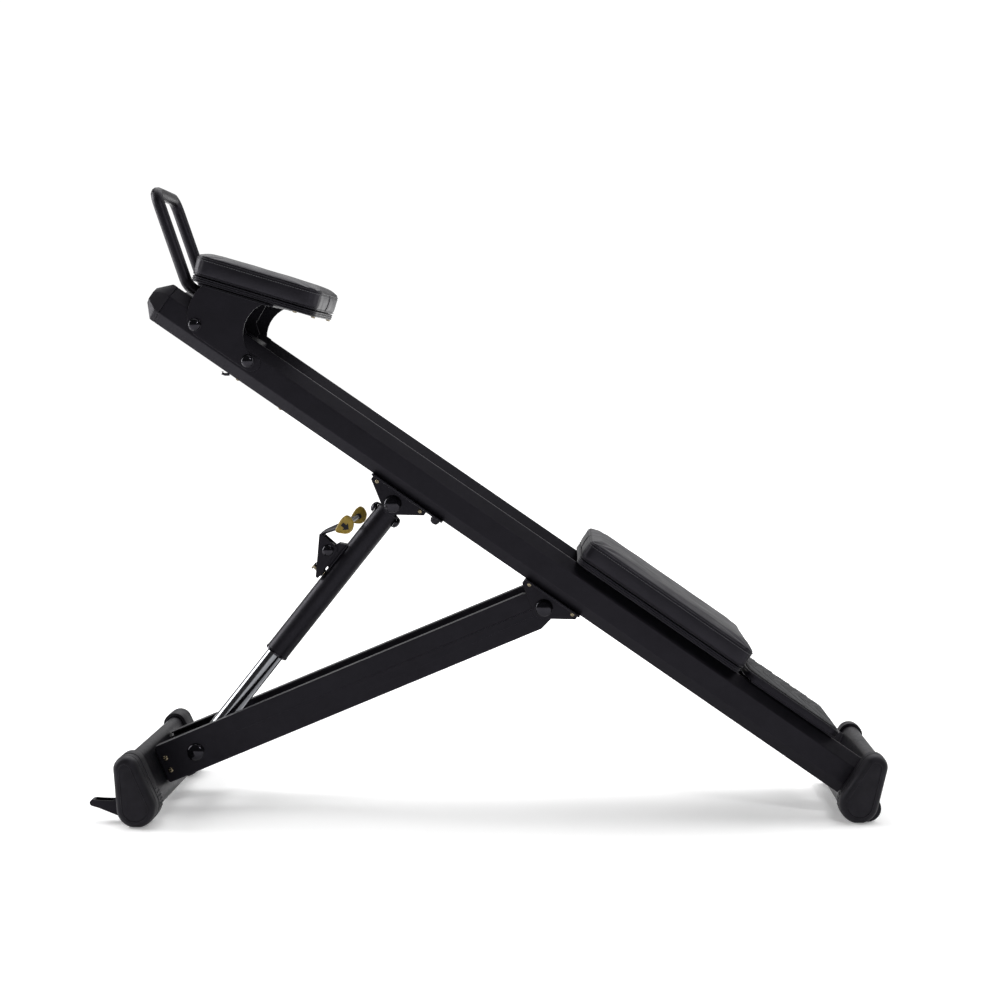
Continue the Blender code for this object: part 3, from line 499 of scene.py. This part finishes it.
def inflate(obj, pinned):
    """Air pressure between the pinned seams, as foam fills its cover; no point moves past the cap."""
    group = obj.vertex_groups.new(name="pinned")
    group.add(pinned, 1.0, "REPLACE")
    cloth = obj.modifiers.new("stuffing", "CLOTH")
    cloth.settings.use_pressure = True
    cloth.settings.uniform_pressure_force = 4
    cloth.settings.effector_weights.gravity = 0
    cloth.settings.vertex_group_mass = "pinned"
    cloth.settings.tension_stiffness = cloth.settings.compression_stiffness = 25
    cloth.settings.bending_stiffness = 2
    cloth.point_cache.frame_end = SIM_FRAMES
    for step in range(1, SIM_FRAMES + 1):
        bpy.context.scene.frame_set(step)
    swollen = obj.evaluated_get(bpy.context.evaluated_depsgraph_get()).data
    moved = [after.co - before.co for after, before in zip(swollen.vertices, obj.data.vertices)]
    obj.modifiers.remove(cloth)
    obj.vertex_groups.remove(group)
    bpy.context.scene.frame_set(1)
    for vertex, shift in zip(obj.data.vertices, moved):
        if shift.length > SWELL_CAP:
            shift *= SWELL_CAP / shift.length
        vertex.co += shift


def pleat(mesh, pad, rings):
    """Small gathers where the side band turns each corner, and a slightly uneven top."""
    for row in range(FIRST_BAND, LAST_BAND + 1):
        fade = sin(pi * (row - FIRST_BAND + 0.7) / (LAST_BAND - FIRST_BAND + 1.4))
        for index in rings[row]:
            vertex = mesh.vertices[index]
            normal = pad.outward(vertex.co.x, vertex.co.y)
            turn = abs(normal.x * normal.y) * 2
            wave = sin(degrees(atan2(abs(normal.y), abs(normal.x))) * 0.28)
            vertex.co.x += normal.x * turn * wave * fade * 0.0007
            vertex.co.y += normal.y * turn * wave * fade * 0.0007
    for vertex in mesh.vertices:
        if vertex.co.z > CUSHION_ROWS[0][1]:
            vertex.co.z += 0.0006 * noise.noise(Vector((vertex.co.x * 22, vertex.co.y * 22, 0)))


def build_cushion(pad):
    bm, rings = pad.shell(CUSHION_ROWS, CROWN)
    bm.verts.ensure_lookup_table()
    edge = set(rings[TOP_SEAM] + rings[LOW_SEAM])
    flat = {v.index for v in bm.verts if v.co.z < CUSHION_ROWS[LOW_SEAM + 1][1]}
    obj = piece(f"{pad.name}_cover", bm, VINYL, pad.body, [f"{pad.name}_cushion"], sharp=180)
    inflate(obj, sorted(edge | flat))
    pleat(obj.data, pad, rings)
    paths = {row: [obj.data.vertices[i].co.copy() for i in rings[row]] for row in range(len(rings))}
    obj.data.transform(pad.place @ Matrix.Translation((0, 0, BOARD_T + 0.0003)))
    obj.modifiers.new("subdivision", "SUBSURF").levels = 1
    obj.modifiers["subdivision"].render_levels = 1
    return paths


def build_board(pad):
    """The upholstered base under the cushion, with three sewn rolls round its edge."""
    bm, rings = pad.shell(BOARD_ROWS)
    obj = piece(f"{pad.name}_trim", bm, VINYL, pad.body, [f"{pad.name}_board"], sharp=180)
    obj.data.transform(pad.place)
    obj.modifiers.new("subdivision", "SUBSURF").levels = 1
    obj.modifiers["subdivision"].render_levels = 1


def along(path, pitch):
    """Points at an even pitch round a closed path, with the direction at each."""
    points = path + [path[0]]
    lengths = [(b - a).length for a, b in zip(points, points[1:])]
    count = round(sum(lengths) / pitch)
    pitch = sum(lengths) / count
    travelled, index = 0.0, 0
    for step in range(count):
        while travelled + lengths[index] < step * pitch:
            travelled += lengths[index]
            index += 1
        a, b = points[index], points[index + 1]
        yield a.lerp(b, (step * pitch - travelled) / lengths[index]), (b - a).normalized()


def sew(pad, paths):
    """Welts in the seams, rows of stitches beside them, and the upright seam at each end."""
    place = pad.place @ Matrix.Translation((0, 0, BOARD_T + 0.0003))
    bm = bmesh.new()
    for row, radius, out in ((TOP_WELT, 0.0011, 0.0001), (LOW_SEAM + 1, 0.0009, 0.0003)):
        lifted = []
        for point in paths[row]:
            normal = pad.outward(point.x, point.y)
            lifted.append(place @ (point + Vector((normal.x, normal.y, 0)) * out))
        sweep(bm, lifted, radius, 8, loop=True)
    for sign in (-1, 1):
        for offset in (-0.0016, 0.0016):
            line = []
            for row in range(TOP_SEAM, LOW_SEAM + 1):
                end = min(paths[row], key=lambda p: abs(p.y) + abs(p.x - sign * pad.half_l))
                line.append(place @ Vector((end.x + sign * 0.0002, end.y + offset, end.z)))
            sweep(bm, line, 0.0008, 6, up=Vector((0, 1, 0)))
    piece(f"{pad.name}_welts", bm, VINYL, pad.body)
    bm = bmesh.new()
    for row, out in ((FIRST_BAND - 1, 0.0003), (FIRST_BAND, 0.0003)):
        for point, ahead in along(paths[row], STITCH_PITCH):
            normal = Vector((ahead.y, -ahead.x, 0)).normalized()
            if normal.xy.dot(point.xy) < 0:
                normal = -normal
            reach = ahead * STITCH_LENGTH / 2
            sweep(bm, [place @ (point - reach - normal * 0.0003), place @ (point + normal * out),
                       place @ (point + reach - normal * 0.0003)], STITCH_R, 6)
    piece(f"{pad.name}_stitches", bm, THREAD, pad.body)


def build_pads():
    knee_place = RAIL @ Matrix.Translation((KNEE_START, 0, DECK))
    elbow = Pad("elbow_pad", PAD, ELBOW_LENGTH, ELBOW_HALF, ELBOW_CORNER, "rail_frame")
    knee = Pad("knee_pad", knee_place, KNEE_END - KNEE_START, KNEE_HALF, KNEE_CORNER, "carriage")
    for pad in (elbow, knee):
        sew(pad, build_cushion(pad))
        build_board(pad)


# --- studio ---------------------------------------------------------------------------------------
ROOM_LIGHT, BACKDROP_WHITE = 0.07, 1.05
FLOOR_HALF, FLOOR_DROP = 40, 0.0005
PAINTED_FLOOR_GLOW = (1.0, 3.4, 0.24, 0.95)     # painted light: the floor glows, the glow rising between two distances from the middle, weak near the object
AREA_LIGHTS = (("overhead", (0.3, 0.9, 3.6), (0.0, 0.0, 0.3), (4.5, 3.0), 55),   # name, place, target,
               ("backdrop", (0.0, 5.0, 2.2), (0.0, 0.0, 1.2), (11.0, 4.0), 62),   # size, power
               ("head_end", (-3.2, 0.4, 1.7), (0.0, 0.0, 0.5), (1.6, 2.2), 100),
               ("foot_end", (3.2, 0.8, 1.9), (0.2, 0.0, 0.5), (1.6, 2.2), 34),
               ("near_key", (1.75, -3.2, 3.1), (0.0, 0.0, 0.5), (0.5, 0.5), 42))
SUN_ENERGY, SUN_SPREAD, SUN_TURN = 1.7, radians(70), (radians(-30), radians(6), 0)
CAMERA_PLACE, CAMERA_TURN = (0.158, -4.10, 0.92), (radians(90 - 3.88), 0, radians(2.0))
LENS, SENSOR = 70.0, 36.0


def area_light(name, place, target, size, power):
    lamp = bpy.data.lights.new(name, "AREA")
    lamp.shape = "RECTANGLE"
    lamp.size, lamp.size_y = size
    lamp.energy = power
    obj = bpy.data.objects.new(name, lamp)
    obj.location = place
    obj.rotation_euler = (Vector(target) - Vector(place)).to_track_quat("-Z", "Y").to_euler()
    bpy.context.scene.collection.objects.link(obj)


def build_floor():
    """A wide pale floor, its far edge well past the view, that glows as painted light, weaker near the
    middle.
    """
    bm = bmesh.new()
    bmesh.ops.create_grid(bm, x_segments=2, y_segments=2, size=FLOOR_HALF)
    mesh = bpy.data.meshes.new("floor")
    bm.to_mesh(mesh)
    bm.free()
    paint = Shader("studio_floor", (0.86, 0.86, 0.86), 0.75, specular=0.10)
    # The floor glows as painted light: weak near the middle, where the object's shade falls, and near white
    # far off.
    paint.set(paint.bsdf, **{"Emission Color": (1, 1, 1, 1)})
    away = paint.tree.nodes.new("ShaderNodeVectorMath")
    away.operation = "LENGTH"
    paint.link(paint.coords, away, 0)
    paint.link(paint.remap(away.outputs["Value"], *PAINTED_FLOOR_GLOW), paint.bsdf, "Emission Strength")
    paint.mottle(paint.noise(3, 2), 0.30, 0.70, 0.995, 1.005)
    mesh.materials.append(paint.material)
    floor = bpy.data.objects.new("floor", mesh)
    floor.location.z = -FLOOR_DROP
    bpy.context.scene.collection.objects.link(floor)


def build_world():
    """White behind the object, a dim grey room in its reflections."""
    world = bpy.data.worlds.new("studio")
    bpy.context.scene.world = world
    world.use_nodes = True
    tree = world.node_tree
    room = tree.nodes["Background"]
    room.inputs["Color"].default_value = (1, 1, 1, 1)
    room.inputs["Strength"].default_value = ROOM_LIGHT
    white = tree.nodes.new("ShaderNodeBackground")
    white.inputs["Color"].default_value = (1, 1, 1, 1)
    white.inputs["Strength"].default_value = BACKDROP_WHITE
    path = tree.nodes.new("ShaderNodeLightPath")
    mix = tree.nodes.new("ShaderNodeMixShader")
    tree.links.new(path.outputs["Is Camera Ray"], mix.inputs["Fac"])
    tree.links.new(room.outputs["Background"], mix.inputs[1])
    tree.links.new(white.outputs["Background"], mix.inputs[2])
    tree.links.new(mix.outputs["Shader"], tree.nodes["World Output"].inputs["Surface"])


def build_studio():
    build_floor()
    build_world()
    for name, place, target, size, power in AREA_LIGHTS:
        area_light(name, place, target, size, power)
    sun = bpy.data.lights.new("floor_wash", "SUN")
    sun.energy, sun.angle = SUN_ENERGY, SUN_SPREAD
    lamp = bpy.data.objects.new("floor_wash", sun)
    lamp.rotation_euler = SUN_TURN
    bpy.context.scene.collection.objects.link(lamp)


def build_camera():
    """Level with the upper rails, nearly square on, a 70 mm lens."""
    camera = bpy.data.cameras.new("camera")
    camera.lens, camera.sensor_width = LENS, SENSOR
    obj = bpy.data.objects.new("camera", camera)
    obj.location, obj.rotation_euler = CAMERA_PLACE, CAMERA_TURN
    bpy.context.scene.collection.objects.link(obj)
    bpy.context.scene.camera = obj


# --- hardware -------------------------------------------------------------------------------------
def button_head(bm, place, radius):
    """A round screw head with a six-sided socket, its seat at the place's origin."""
    height, socket = 0.62 * radius, 0.46 * radius
    lathe(bm, [(0, 0), (radius, 0), (radius, 0.25 * radius), (0.90 * radius, 0.45 * radius),
               (0.68 * radius, 0.58 * radius), (socket, height)], place, 24)
    rim = bm.verts[:][-24:]
    rings = [[bm.verts.new(place @ Vector((socket * cos(pi * k / 12) * k_in(k), socket * sin(pi * k / 12)
                                           * k_in(k), depth))) for k in range(24)]
             for depth in (height - 0.02 * radius, 0.20 * radius)]
    skin(bm, [rim] + rings)
    bm.faces.new(rings[-1])


def k_in(k):
    """How far a hexagon's edge lies inside its circle, for one of 24 steps round it."""
    return cos(pi / 6) / cos((k % 4) * pi / 12 - pi / 6)


def domed_caps(bm, place, half, radius, height, shank):
    """A through bolt along the place's Z: a glossy cap with a thin skirt at each end."""
    dome = [(radius * sin(radians(a)), half + 0.0026 + (height - 0.0026) * cos(radians(a)))
            for a in range(0, 86, 7)]
    upper = dome + [(radius, half + 0.0022), (radius + 0.0007, half + 0.0018), (radius + 0.0007, half),
                    (shank, half)]
    lathe(bm, upper + [(r, -h) for r, h in reversed(upper)], place, 56)


BOLT_GAP = 0.0003
ACROSS, ALONG_X = Matrix.Rotation(-pi / 2, 4, "X"), Matrix.Rotation(pi / 2, 4, "Y")
PIVOT_CAP, HEAD_CAP = (0.0180, 0.011, 0.006), (0.0128, 0.010, 0.005)   # cap radius, height, shank radius
LATCH_CAP, CROSS_CAP = (0.0122, 0.009, 0.0045), (0.0118, 0.010, 0.0045)
LATCH_FACE = 0.0195
BOLTS = [("upper_pivot_bolt", RAIL, (STRUT_PIVOT_S, 0, STRUT_PIVOT_N), ACROSS, UPPER_CHEEK_FACE, PIVOT_CAP,
          "rail_frame"),
         ("lower_pivot_bolt", RAIL, (ARM_PIVOT_S, 0, ARM_PIVOT_N), ACROSS, LOWER_CHEEK_FACE, PIVOT_CAP,
          "rail_frame"),
         ("base_pivot_bolt", ARM, (0, 0, 0), ACROSS, ARM_OUT, PIVOT_CAP, "base"),
         ("latch_bolt", STRUT, (LATCH_X, 0, LATCH_Z), ACROSS, LATCH_FACE, LATCH_CAP, "strut_outer"),
         ("strut_cross_bolt", STRUT, (0, 0, CROSS_Z), ALONG_X, TUBE_R, CROSS_CAP, "strut_outer")]
BOLTS += [(f"head_bolt_{word}", RAIL, (s, 0, HEAD_BOLT_N), ACROSS, HEAD_PLATE_FACE + BOLT_GAP, HEAD_CAP,
           "rail_frame") for s, word in zip(HEAD_BOLT_S, ("front", "rear"))]


def build_bolts():
    for node, base, centre, turn, half, (radius, height, shank), body in BOLTS:
        bm = bmesh.new()
        domed_caps(bm, base @ Matrix.Translation(centre) @ turn, half + BOLT_GAP, radius, height, shank)
        piece(f"{node}_caps", bm, GLOSS, body, [node])


BRACKET_SCREWS = ((0.5860, -0.0601, UPPER_CHEEK_FACE), (0.6947, -0.0610, UPPER_CHEEK_FACE),   # s, n, face
                  (0.9679, -0.0536, LOWER_CHEEK_FACE), (1.0760, -0.0539, LOWER_CHEEK_FACE))
RAIL_SCREWS, PAD_SCREWS, PAD_SCREW_Y = (0.2354, 0.3411), (0.045, 0.2205, 0.2600), 0.122
ARM_SCREWS = ((-0.0643, 0.0131), (-0.0642, -0.0141))
BRACKET_HEAD, RAIL_HEAD_R, PAD_HEAD, ARM_HEAD = 0.0046, 0.0040, 0.0048, 0.0056   # head radii


def build_screws():
    """Screws in the brackets and arms, under the rails and under the elbow pad."""
    bm, arms = bmesh.new(), bmesh.new()
    for side, _ in SIDES:
        for s, n, face in BRACKET_SCREWS:
            button_head(bm, facing(RAIL, (s, side * face, n), side), BRACKET_HEAD)
        for s in RAIL_SCREWS:
            place = RAIL @ Matrix.Translation((s, side * RAIL_Y, -RAIL_HALF_H)) @ Matrix.Rotation(pi, 4, "X")
            button_head(bm, place, RAIL_HEAD_R)
        for x in PAD_SCREWS:
            place = PAD @ Matrix.Translation((x, side * PAD_SCREW_Y, 0)) @ Matrix.Rotation(pi, 4, "X")
            button_head(bm, place, PAD_HEAD)
        for x, z in ARM_SCREWS:
            button_head(arms, facing(ARM, (x, side * ARM_OUT, z), side), ARM_HEAD)
    piece("frame_screws", bm, ZINC, "rail_frame")
    piece("arm_screws", arms, ZINC, "base")


def bead(bm, points, radius, loop=False):
    """A run of weld: a bar whose thickness ripples."""
    points = [Vector(p) for p in points]
    ends = points + [points[0]] if loop else points
    path = []
    for a, b in zip(ends, ends[1:]):
        steps = max(1, round((b - a).length / 0.0018))
        path += [a.lerp(b, i / steps) for i in range(steps)]
    if not loop:
        path.append(points[-1])
    sweep(bm, path, [radius * (1 + 0.16 * sin(2.1 * i) + 0.05 * sin(0.7 * i)) for i in range(len(path))], 8,
          loop=loop)


def ring_points(place, radius, height, steps=40):
    return [place @ Vector((radius * cos(2 * pi * k / steps), radius * sin(2 * pi * k / steps), height))
            for k in range(steps)]


def build_welds():
    bm, low = bmesh.new(), bmesh.new()
    bead(bm, ring_points(STRUT, TUBE_R - 0.0006, -EYE_R - 0.0012), 0.0017, loop=True)
    for side, _ in SIDES:
        bead(bm, [STRUT @ Vector((-0.0232, side * 0.0155, z)) for z in (-0.196, -0.134)], 0.0026)
    piece("strut_welds", bm, POWDER, "strut_outer")
    bm = bmesh.new()
    for side, _ in SIDES:
        for pivot_s, face in ((STRUT_PIVOT_S, UPPER_CHEEK_FACE), (ARM_PIVOT_S, LOWER_CHEEK_FACE)):
            edge = [RAIL @ Vector((pivot_s + a, side * face, -0.0484)) for a in (-0.064, 0.064)]
            bead(bm, edge, 0.0016)
        w, h, e = RAIL_HALF_W - 0.001, RAIL_HALF_H - 0.001, RAIL_SIDE
        end = [(w, -e), (w, e), (0.004, h), (-0.004, h), (-w, e), (-w, -e)]
        bead(bm, [RAIL @ Vector((RAIL_END + 0.0004, side * RAIL_Y + side * y, n)) for y, n in end], 0.0016)
        base = RAIL @ Matrix.Translation((0, side * 0.1085, 0))
        bead(bm, [base @ Vector((s, 0, n)) for s, n in ((0.130, -0.033), (0.130, 0.031), (0.212, 0.031),
                                                        (0.212, -0.033))], 0.0018)
    piece("rail_welds", bm, POWDER, "rail_frame")
    for side, _ in SIDES:
        line = [ARM @ Vector((-0.0790, side * y, -0.030)) for y in (ARM_OUT - 0.028, ARM_OUT - 0.003)]
        bead(low, line, 0.0017)
    piece("base_welds", low, POWDER, "base")


GUSSET = [(0.140, 0.0330), (0.190, 0.0330), (0.190, 0.0430), (0.171, 0.0580), (0.168, 0.1020),
          (0.140, 0.0940)]
GUSSET_Y, GUSSET_HALF, GUSSET_BEAD_Y, GUSSET_BEAD = 0.085, 0.0015, 0.0870, 0.0011
LIP_START, LIP_END, LIP_Y, LIP_Z, LIP_R = 0.036, 0.172, 0.1580, -0.0042, 0.0024
LINER = [(-0.0228, -0.004), (-0.0228, RAIL_SIDE + 0.0004), (-0.0032, RAIL_HALF_H + 0.0006)]   # y, n
LINER_START, LINER_END, LINER_T = 0.150, 0.2125, 0.0010
HOOK, HOOK_R = [(0.216, -0.0440), (0.209, -0.0490), (0.2030, -0.0510), (0.2010, -0.0470)], 0.0030


def build_head_details():
    """Gussets and a lip under the elbow pad, a liner on each rail, and a cable hook."""
    bm, hooks = bmesh.new(), bmesh.new()
    for side, _ in SIDES:
        slab(bm, GUSSET, -GUSSET_HALF, GUSSET_HALF, facing(RAIL, (0, side * GUSSET_Y, 0), side) @ flip(side))
        sweep(bm, [RAIL @ Vector((s, side * GUSSET_BEAD_Y, n)) for s, n in GUSSET[1:4]], GUSSET_BEAD, 8)
        lip = [PAD @ Vector((x, side * LIP_Y, LIP_Z)) for x in (LIP_START, LIP_END)]
        sweep(bm, lip, LIP_R, 10, flatten=0.7)
        on_rail = RAIL @ Matrix.Translation((0, side * RAIL_Y, 0)) @ END_ON @ Matrix.Diagonal((side, 1, 1, 1))
        slab(bm, [(y - LINER_T, n + LINER_T) for y, n in LINER] + [(y, n) for y, n in reversed(LINER)],
             LINER_START, LINER_END, on_rail)
        sweep(hooks, [RAIL @ Vector((s, side * RAIL_Y, n)) for s, n in HOOK], HOOK_R, 12)
    piece("head_gussets", bm, POWDER, "rail_frame", smooth=False)
    piece("cable_hooks", hooks, GLOSS, "rail_frame")


# --- strut latch, paddles -------------------------------------------------------------------------
PADDLE = ((-0.011, -0.0215), (-0.004, -0.0220), (0.0145, -0.0110), (0.0180, 0.0015),
          (0.0110, 0.0155), (-0.003, 0.0215), (-0.0125, 0.0190), (-0.0160, 0.006))
ARROW = ((0.0105, -0.001), (0.0010, 0.0080), (0.0010, 0.0030), (-0.0075, 0.0030), (-0.0075, -0.0050),
         (0.0010, -0.0050), (0.0010, -0.0100))


def rounded_off(outline, times=3):
    """The outline with its corners cut again and again until they look moulded."""
    for _ in range(times):
        cut = []
        for (ax, ay), (bx, by) in zip(outline, outline[1:] + outline[:1]):
            cut += [(ax * 0.78 + bx * 0.22, ay * 0.78 + by * 0.22),
                    (ax * 0.22 + bx * 0.78, ay * 0.22 + by * 0.78)]
        outline = cut
    return outline


def dished(bm, outline, rows, place):
    """A moulded body: the outline shrunk by an inset at each height, closed at both ends."""
    middle = Vector((sum(a for a, b in outline) / len(outline), sum(b for a, b in outline) / len(outline)))
    rings = []
    for inset, height in rows:
        ring = []
        for a, b in outline:
            spoke = Vector((a, b)) - middle
            spoke *= max(0.02, 1 - inset / spoke.length)
            ring.append(bm.verts.new(place @ Vector((*(middle + spoke), height))))
        rings.append(ring)
    skin(bm, rings)
    bm.faces.new(rings[0])
    bm.faces.new(rings[-1])


def build_paddles():
    """Shield-shaped finger paddles with a raised rim, a moulded socket and a direction arrow."""
    half = PADDLE_T / 2
    rows = ((0.0030, -half), (0.0010, -half + 0.0008), (0.0, -half + 0.0026), (0.0, half - 0.0026),
            (0.0007, half - 0.0010), (0.0020, half - 0.0001), (0.0031, half - 0.0002),
            (0.0040, half - 0.0012), (0.0080, half - 0.0014))
    outline = rounded_off([(x, z) for x, z in PADDLE])
    for side, hand in SIDES:
        place = facing(STRUT, (PADDLE_X, side * PADDLE_MIDDLE, PADDLE_Z), side) @ flip(side)
        bm = bmesh.new()
        dished(bm, outline, rows, place)
        piece(f"paddle_{hand}_moulding", bm, YELLOW, "latch", [f"paddle_{hand}"])
        bm = bmesh.new()
        slab(bm, ARROW, half - 0.0016, half - 0.0009, place)
        piece(f"paddle_{hand}_arrow", bm, MARKING, "latch", smooth=False)
        bm = bmesh.new()
        lathe(bm, [(0, -half - 0.0016), (0.0058, -half - 0.0016), (0.0064, -half - 0.0010),
                   (0.0064, -half + 0.0010), (0, -half + 0.0010)], place, 24)
        piece(f"paddle_{hand}_socket", bm, RUBBER, "latch")


PIN_Z = -0.214                          # the lock pin, in the strut frame
SPRING_START, SPRING_R, SPRING_PITCH, SPRING_WIRE = -0.0325, 0.0064, 0.00256, 0.0006


def build_latch_rims():
    """The rolled edge of each latch cheek, and the spring that returns it."""
    bm = bmesh.new()
    cheek = ([(-0.0287, -0.2260), (-0.0322, -0.1640)]
             + arc(LATCH_X + 0.003, LATCH_Z + 0.004, 0.0143, 15, 60, 6) + [(-0.0785, -0.1492)])
    for side, _ in SIDES:
        sweep(bm, [STRUT @ Vector((x, side * 0.0193, z)) for x, z in cheek], 0.0008, 8)
    piece("latch_rims", bm, POWDER, "latch")
    bm = bmesh.new()
    coil = [STRUT @ Vector((SPRING_START - SPRING_PITCH * k / 16, SPRING_R * cos(k * pi / 8),
                            PIN_Z + SPRING_R * sin(k * pi / 8))) for k in range(100)]
    sweep(bm, coil, SPRING_WIRE, 6)
    piece("pin_spring", bm, ZINC, "strut_outer")


# --- feet -----------------------------------------------------------------------------------------
def teardrop(inset, lean, foot_x):
    """The foot outline (x, z): a big circle with a flat on the floor, a small one above, and tangents."""
    big, small = FOOT_BIG - inset, FOOT_SMALL - inset
    tip = (foot_x + FOOT_REACH * sin(lean), FOOT_Z + FOOT_REACH * cos(lean))
    slope = degrees(atan2(big - small, FOOT_REACH))
    up = 90 - degrees(lean)
    return (arc(*tip, small, up - 90 + slope, up + 90 - slope, 26)
            + arc(foot_x, FOOT_Z, big, up + 90 - slope, 258, 18)
            + arc(foot_x, FOOT_Z, big, 282, up + 270 + slope, 18))


FOOT_ROWS = ((0.0, 0.0125), (0.0, 0.0), (0.0205, 0.0), (0.0212, 0.0009), (0.0222, 0.0009), (0.0229, 0.0),
             (0.0330, 0.0006), (0.0385, 0.0020), (0.0425, 0.0046), (0.0450, 0.0080), (0.0460, 0.0116),
             (0.0461, 0.0131), (0.0470, 0.0138), (0.0470, 0.0146), (0.0462, 0.0153), (0.0464, 0.0185),
             (0.0470, 0.0225), (0.0472, 0.0250))
FRONT_TUBE_INSET = 0.0086
SLEEVE_ROWS = ((0.0, FRONT_TUBE_INSET), (0.0352, FRONT_TUBE_INSET), (0.0360, FRONT_TUBE_INSET - 0.0012),
               (0.0350, 0.0012), (0.0335, 0.0004), (0.0040, 0.0), (0.0018, 0.0), (0.0010, 0.0010),
               (0.0, 0.0010))
RIB_HEIGHTS = (0.0330, 0.0402, 0.0474, 0.0546, 0.0618, 0.0690)


def outline_x(outline, z, toe):
    """Where the foot outline crosses a height, on its toe (+X) or heel side."""
    crossings = []
    for (ax, az), (bx, bz) in zip(outline, outline[1:] + outline[:1]):
        if (az - z) * (bz - z) <= 0 and az != bz:
            crossings.append(ax + (bx - ax) * (z - az) / (bz - az))
    return max(crossings) if toe else min(crossings)


def sleeve_length(x, z):
    """The sleeve round the front tube is cut short where the lift step meets the tube."""
    if x > FRONT_X or z > 0.100:
        return 1.0
    reach = max((x - FRONT_X + 0.026) / 0.026, (z - 0.070) / 0.030, 0.0)
    return 0.10 + 0.90 * min(reach, 1.0) ** 2


def moulded_foot(lean, foot_x, inner, side):
    """A foot with a parting groove, a rolled face edge and a raised tear-drop line."""
    bm = bmesh.new()
    rings = []
    sleeved = foot_x < 0
    if sleeved:
        for depth, inset in SLEEVE_ROWS:
            rings.append([bm.verts.new((x, side * (inner + 0.0003 - depth * sleeve_length(x, z)), z))
                          for x, z in teardrop(inset, lean, foot_x)])
    for depth, inset in FOOT_ROWS[2 if sleeved else 0:]:
        y = side * (inner + 0.0003 + depth)
        rings.append([bm.verts.new((x, y, z)) for x, z in teardrop(inset, lean, foot_x)])
    skin(bm, rings)
    bm.faces.new(rings[0])
    bm.faces.new(rings[-1])
    toe = foot_x < 0
    for z in RIB_HEIGHTS:
        x = outline_x(teardrop(0.0004, lean, foot_x), z, toe)
        start, end = (-0.0340, -0.0100) if sleeved else (0.0020, 0.0190)
        sweep(bm, [(x, side * (inner + a), z) for a in (start, start + 0.001, end - 0.001, end)],
              [0.0006, 0.0016, 0.0016, 0.0006], 8)
    return bm


def cut_wheel_slot(obj, side):
    """The rear feet are hollowed where the transport wheels stand."""
    bm = bmesh.new()
    place = facing(WORLD, (WHEEL_C[0], side * (REAR_HALF + WHEEL_SET), WHEEL_C[1]), side)
    lathe(bm, [(0, -0.010), (WHEEL_R + 0.0015, -0.010), (WHEEL_R + 0.0015, 0.010), (0, 0.010)], place, 48)
    bmesh.ops.recalc_face_normals(bm, faces=bm.faces)
    mesh = bpy.data.meshes.new("slot")
    bm.to_mesh(mesh)
    bm.free()
    slot = bpy.data.objects.new("slot", mesh)
    bpy.context.scene.collection.objects.link(slot)
    boolean = obj.modifiers.new("slot", "BOOLEAN")
    boolean.object, boolean.solver = slot, "EXACT"
    cut = bpy.data.meshes.new_from_object(obj.evaluated_get(bpy.context.evaluated_depsgraph_get()))
    obj.modifiers.remove(boolean)
    obj.data = cut
    bpy.data.objects.remove(slot)


def build_feet():
    for word, lean, foot_x, half, body in (("front", FRONT_LEAN, FRONT_X, FRONT_HALF, "base"),
                                           ("rear", REAR_LEAN, REAR_X, REAR_HALF, "rail_frame")):
        for side, hand in SIDES:
            node = f"{word}_foot_{hand}"
            obj = piece(f"{node}_moulding", moulded_foot(lean, foot_x, half, side), RUBBER, body,
                        [node], sharp=30)
            if word == "rear":
                cut_wheel_slot(obj, side)


# --- foot platform --------------------------------------------------------------------------------
DECK_UP = RAIL.to_3x3() @ Vector((0, 0, 1))
BAND_PITCH, RIB_PITCH, RIBS_PER_BAND, RIB_SLOPE, RIB_R, DIVIDER_R = 0.0460, 0.0052, 6, 0.42, 0.0015, 0.0030
RIB_START, RIB_END, RIB_REACH = PLATFORM_START + 0.0085, PLATFORM_END - 0.0085, PLATFORM_HALF - 0.0090
RIB_GAP, RIB_SHORTEST = 0.0035, 0.006   # half the gap along the middle; shorter ribs are left out


def build_tread():
    """Slanted ribs in bands that meet in a V along the middle of the platform."""
    bm = bmesh.new()
    for band in range(-2, 7):
        for rib in range(RIBS_PER_BAND):
            base = RIB_START + band * BAND_PITCH + rib * RIB_PITCH
            divider = rib == RIBS_PER_BAND - 1
            low = max(RIB_GAP, (RIB_START - base) / RIB_SLOPE)
            high = min(RIB_REACH, (RIB_END - base) / RIB_SLOPE)
            corner = (base + RIB_SLOPE * high) - (RIB_END - 0.018)
            high -= max(0.0, corner) * 0.45
            if base + RIB_SLOPE * low > RIB_END or high - low < RIB_SHORTEST:
                continue
            for side, _ in SIDES:
                line = [RAIL @ Vector((base + RIB_SLOPE * y, side * y, TREAD_TOP)) for y in (low, high)]
                sweep(bm, line, DIVIDER_R if divider else RIB_R, 8, flatten=0.55 if divider else 0.9,
                      up=DECK_UP)
    piece("tread_ribs", bm, RIBS, "rail_frame")
    bm = bmesh.new()
    corner, edge = 0.024, []
    x0, x1, y1 = PLATFORM_START + 0.002, PLATFORM_END - 0.002, PLATFORM_HALF - 0.002
    for cx, cy, turn in ((x1 - corner, y1 - corner, 0), (x0 + corner, y1 - corner, 90),
                         (x0 + corner, corner - y1, 180), (x1 - corner, corner - y1, 270)):
        edge += arc(cx, cy, corner, turn, turn + 90, 8)
    sweep(bm, [RAIL @ Vector((s, y, TREAD_TOP - 0.0052)) for s, y in edge], 0.0030, 10, loop=True,
          up=DECK_UP)
    piece("platform_rim", bm, POWDER, "rail_frame")


# --- assembly -------------------------------------------------------------------------------------
bpy.context.scene.view_settings.view_transform = "Standard"
build_camera()
build_studio()
finish_cad_nodes()
build_pads()
build_bolts()
build_screws()
build_welds()
build_head_details()
build_paddles()
build_latch_rims()
build_feet()
build_tread()
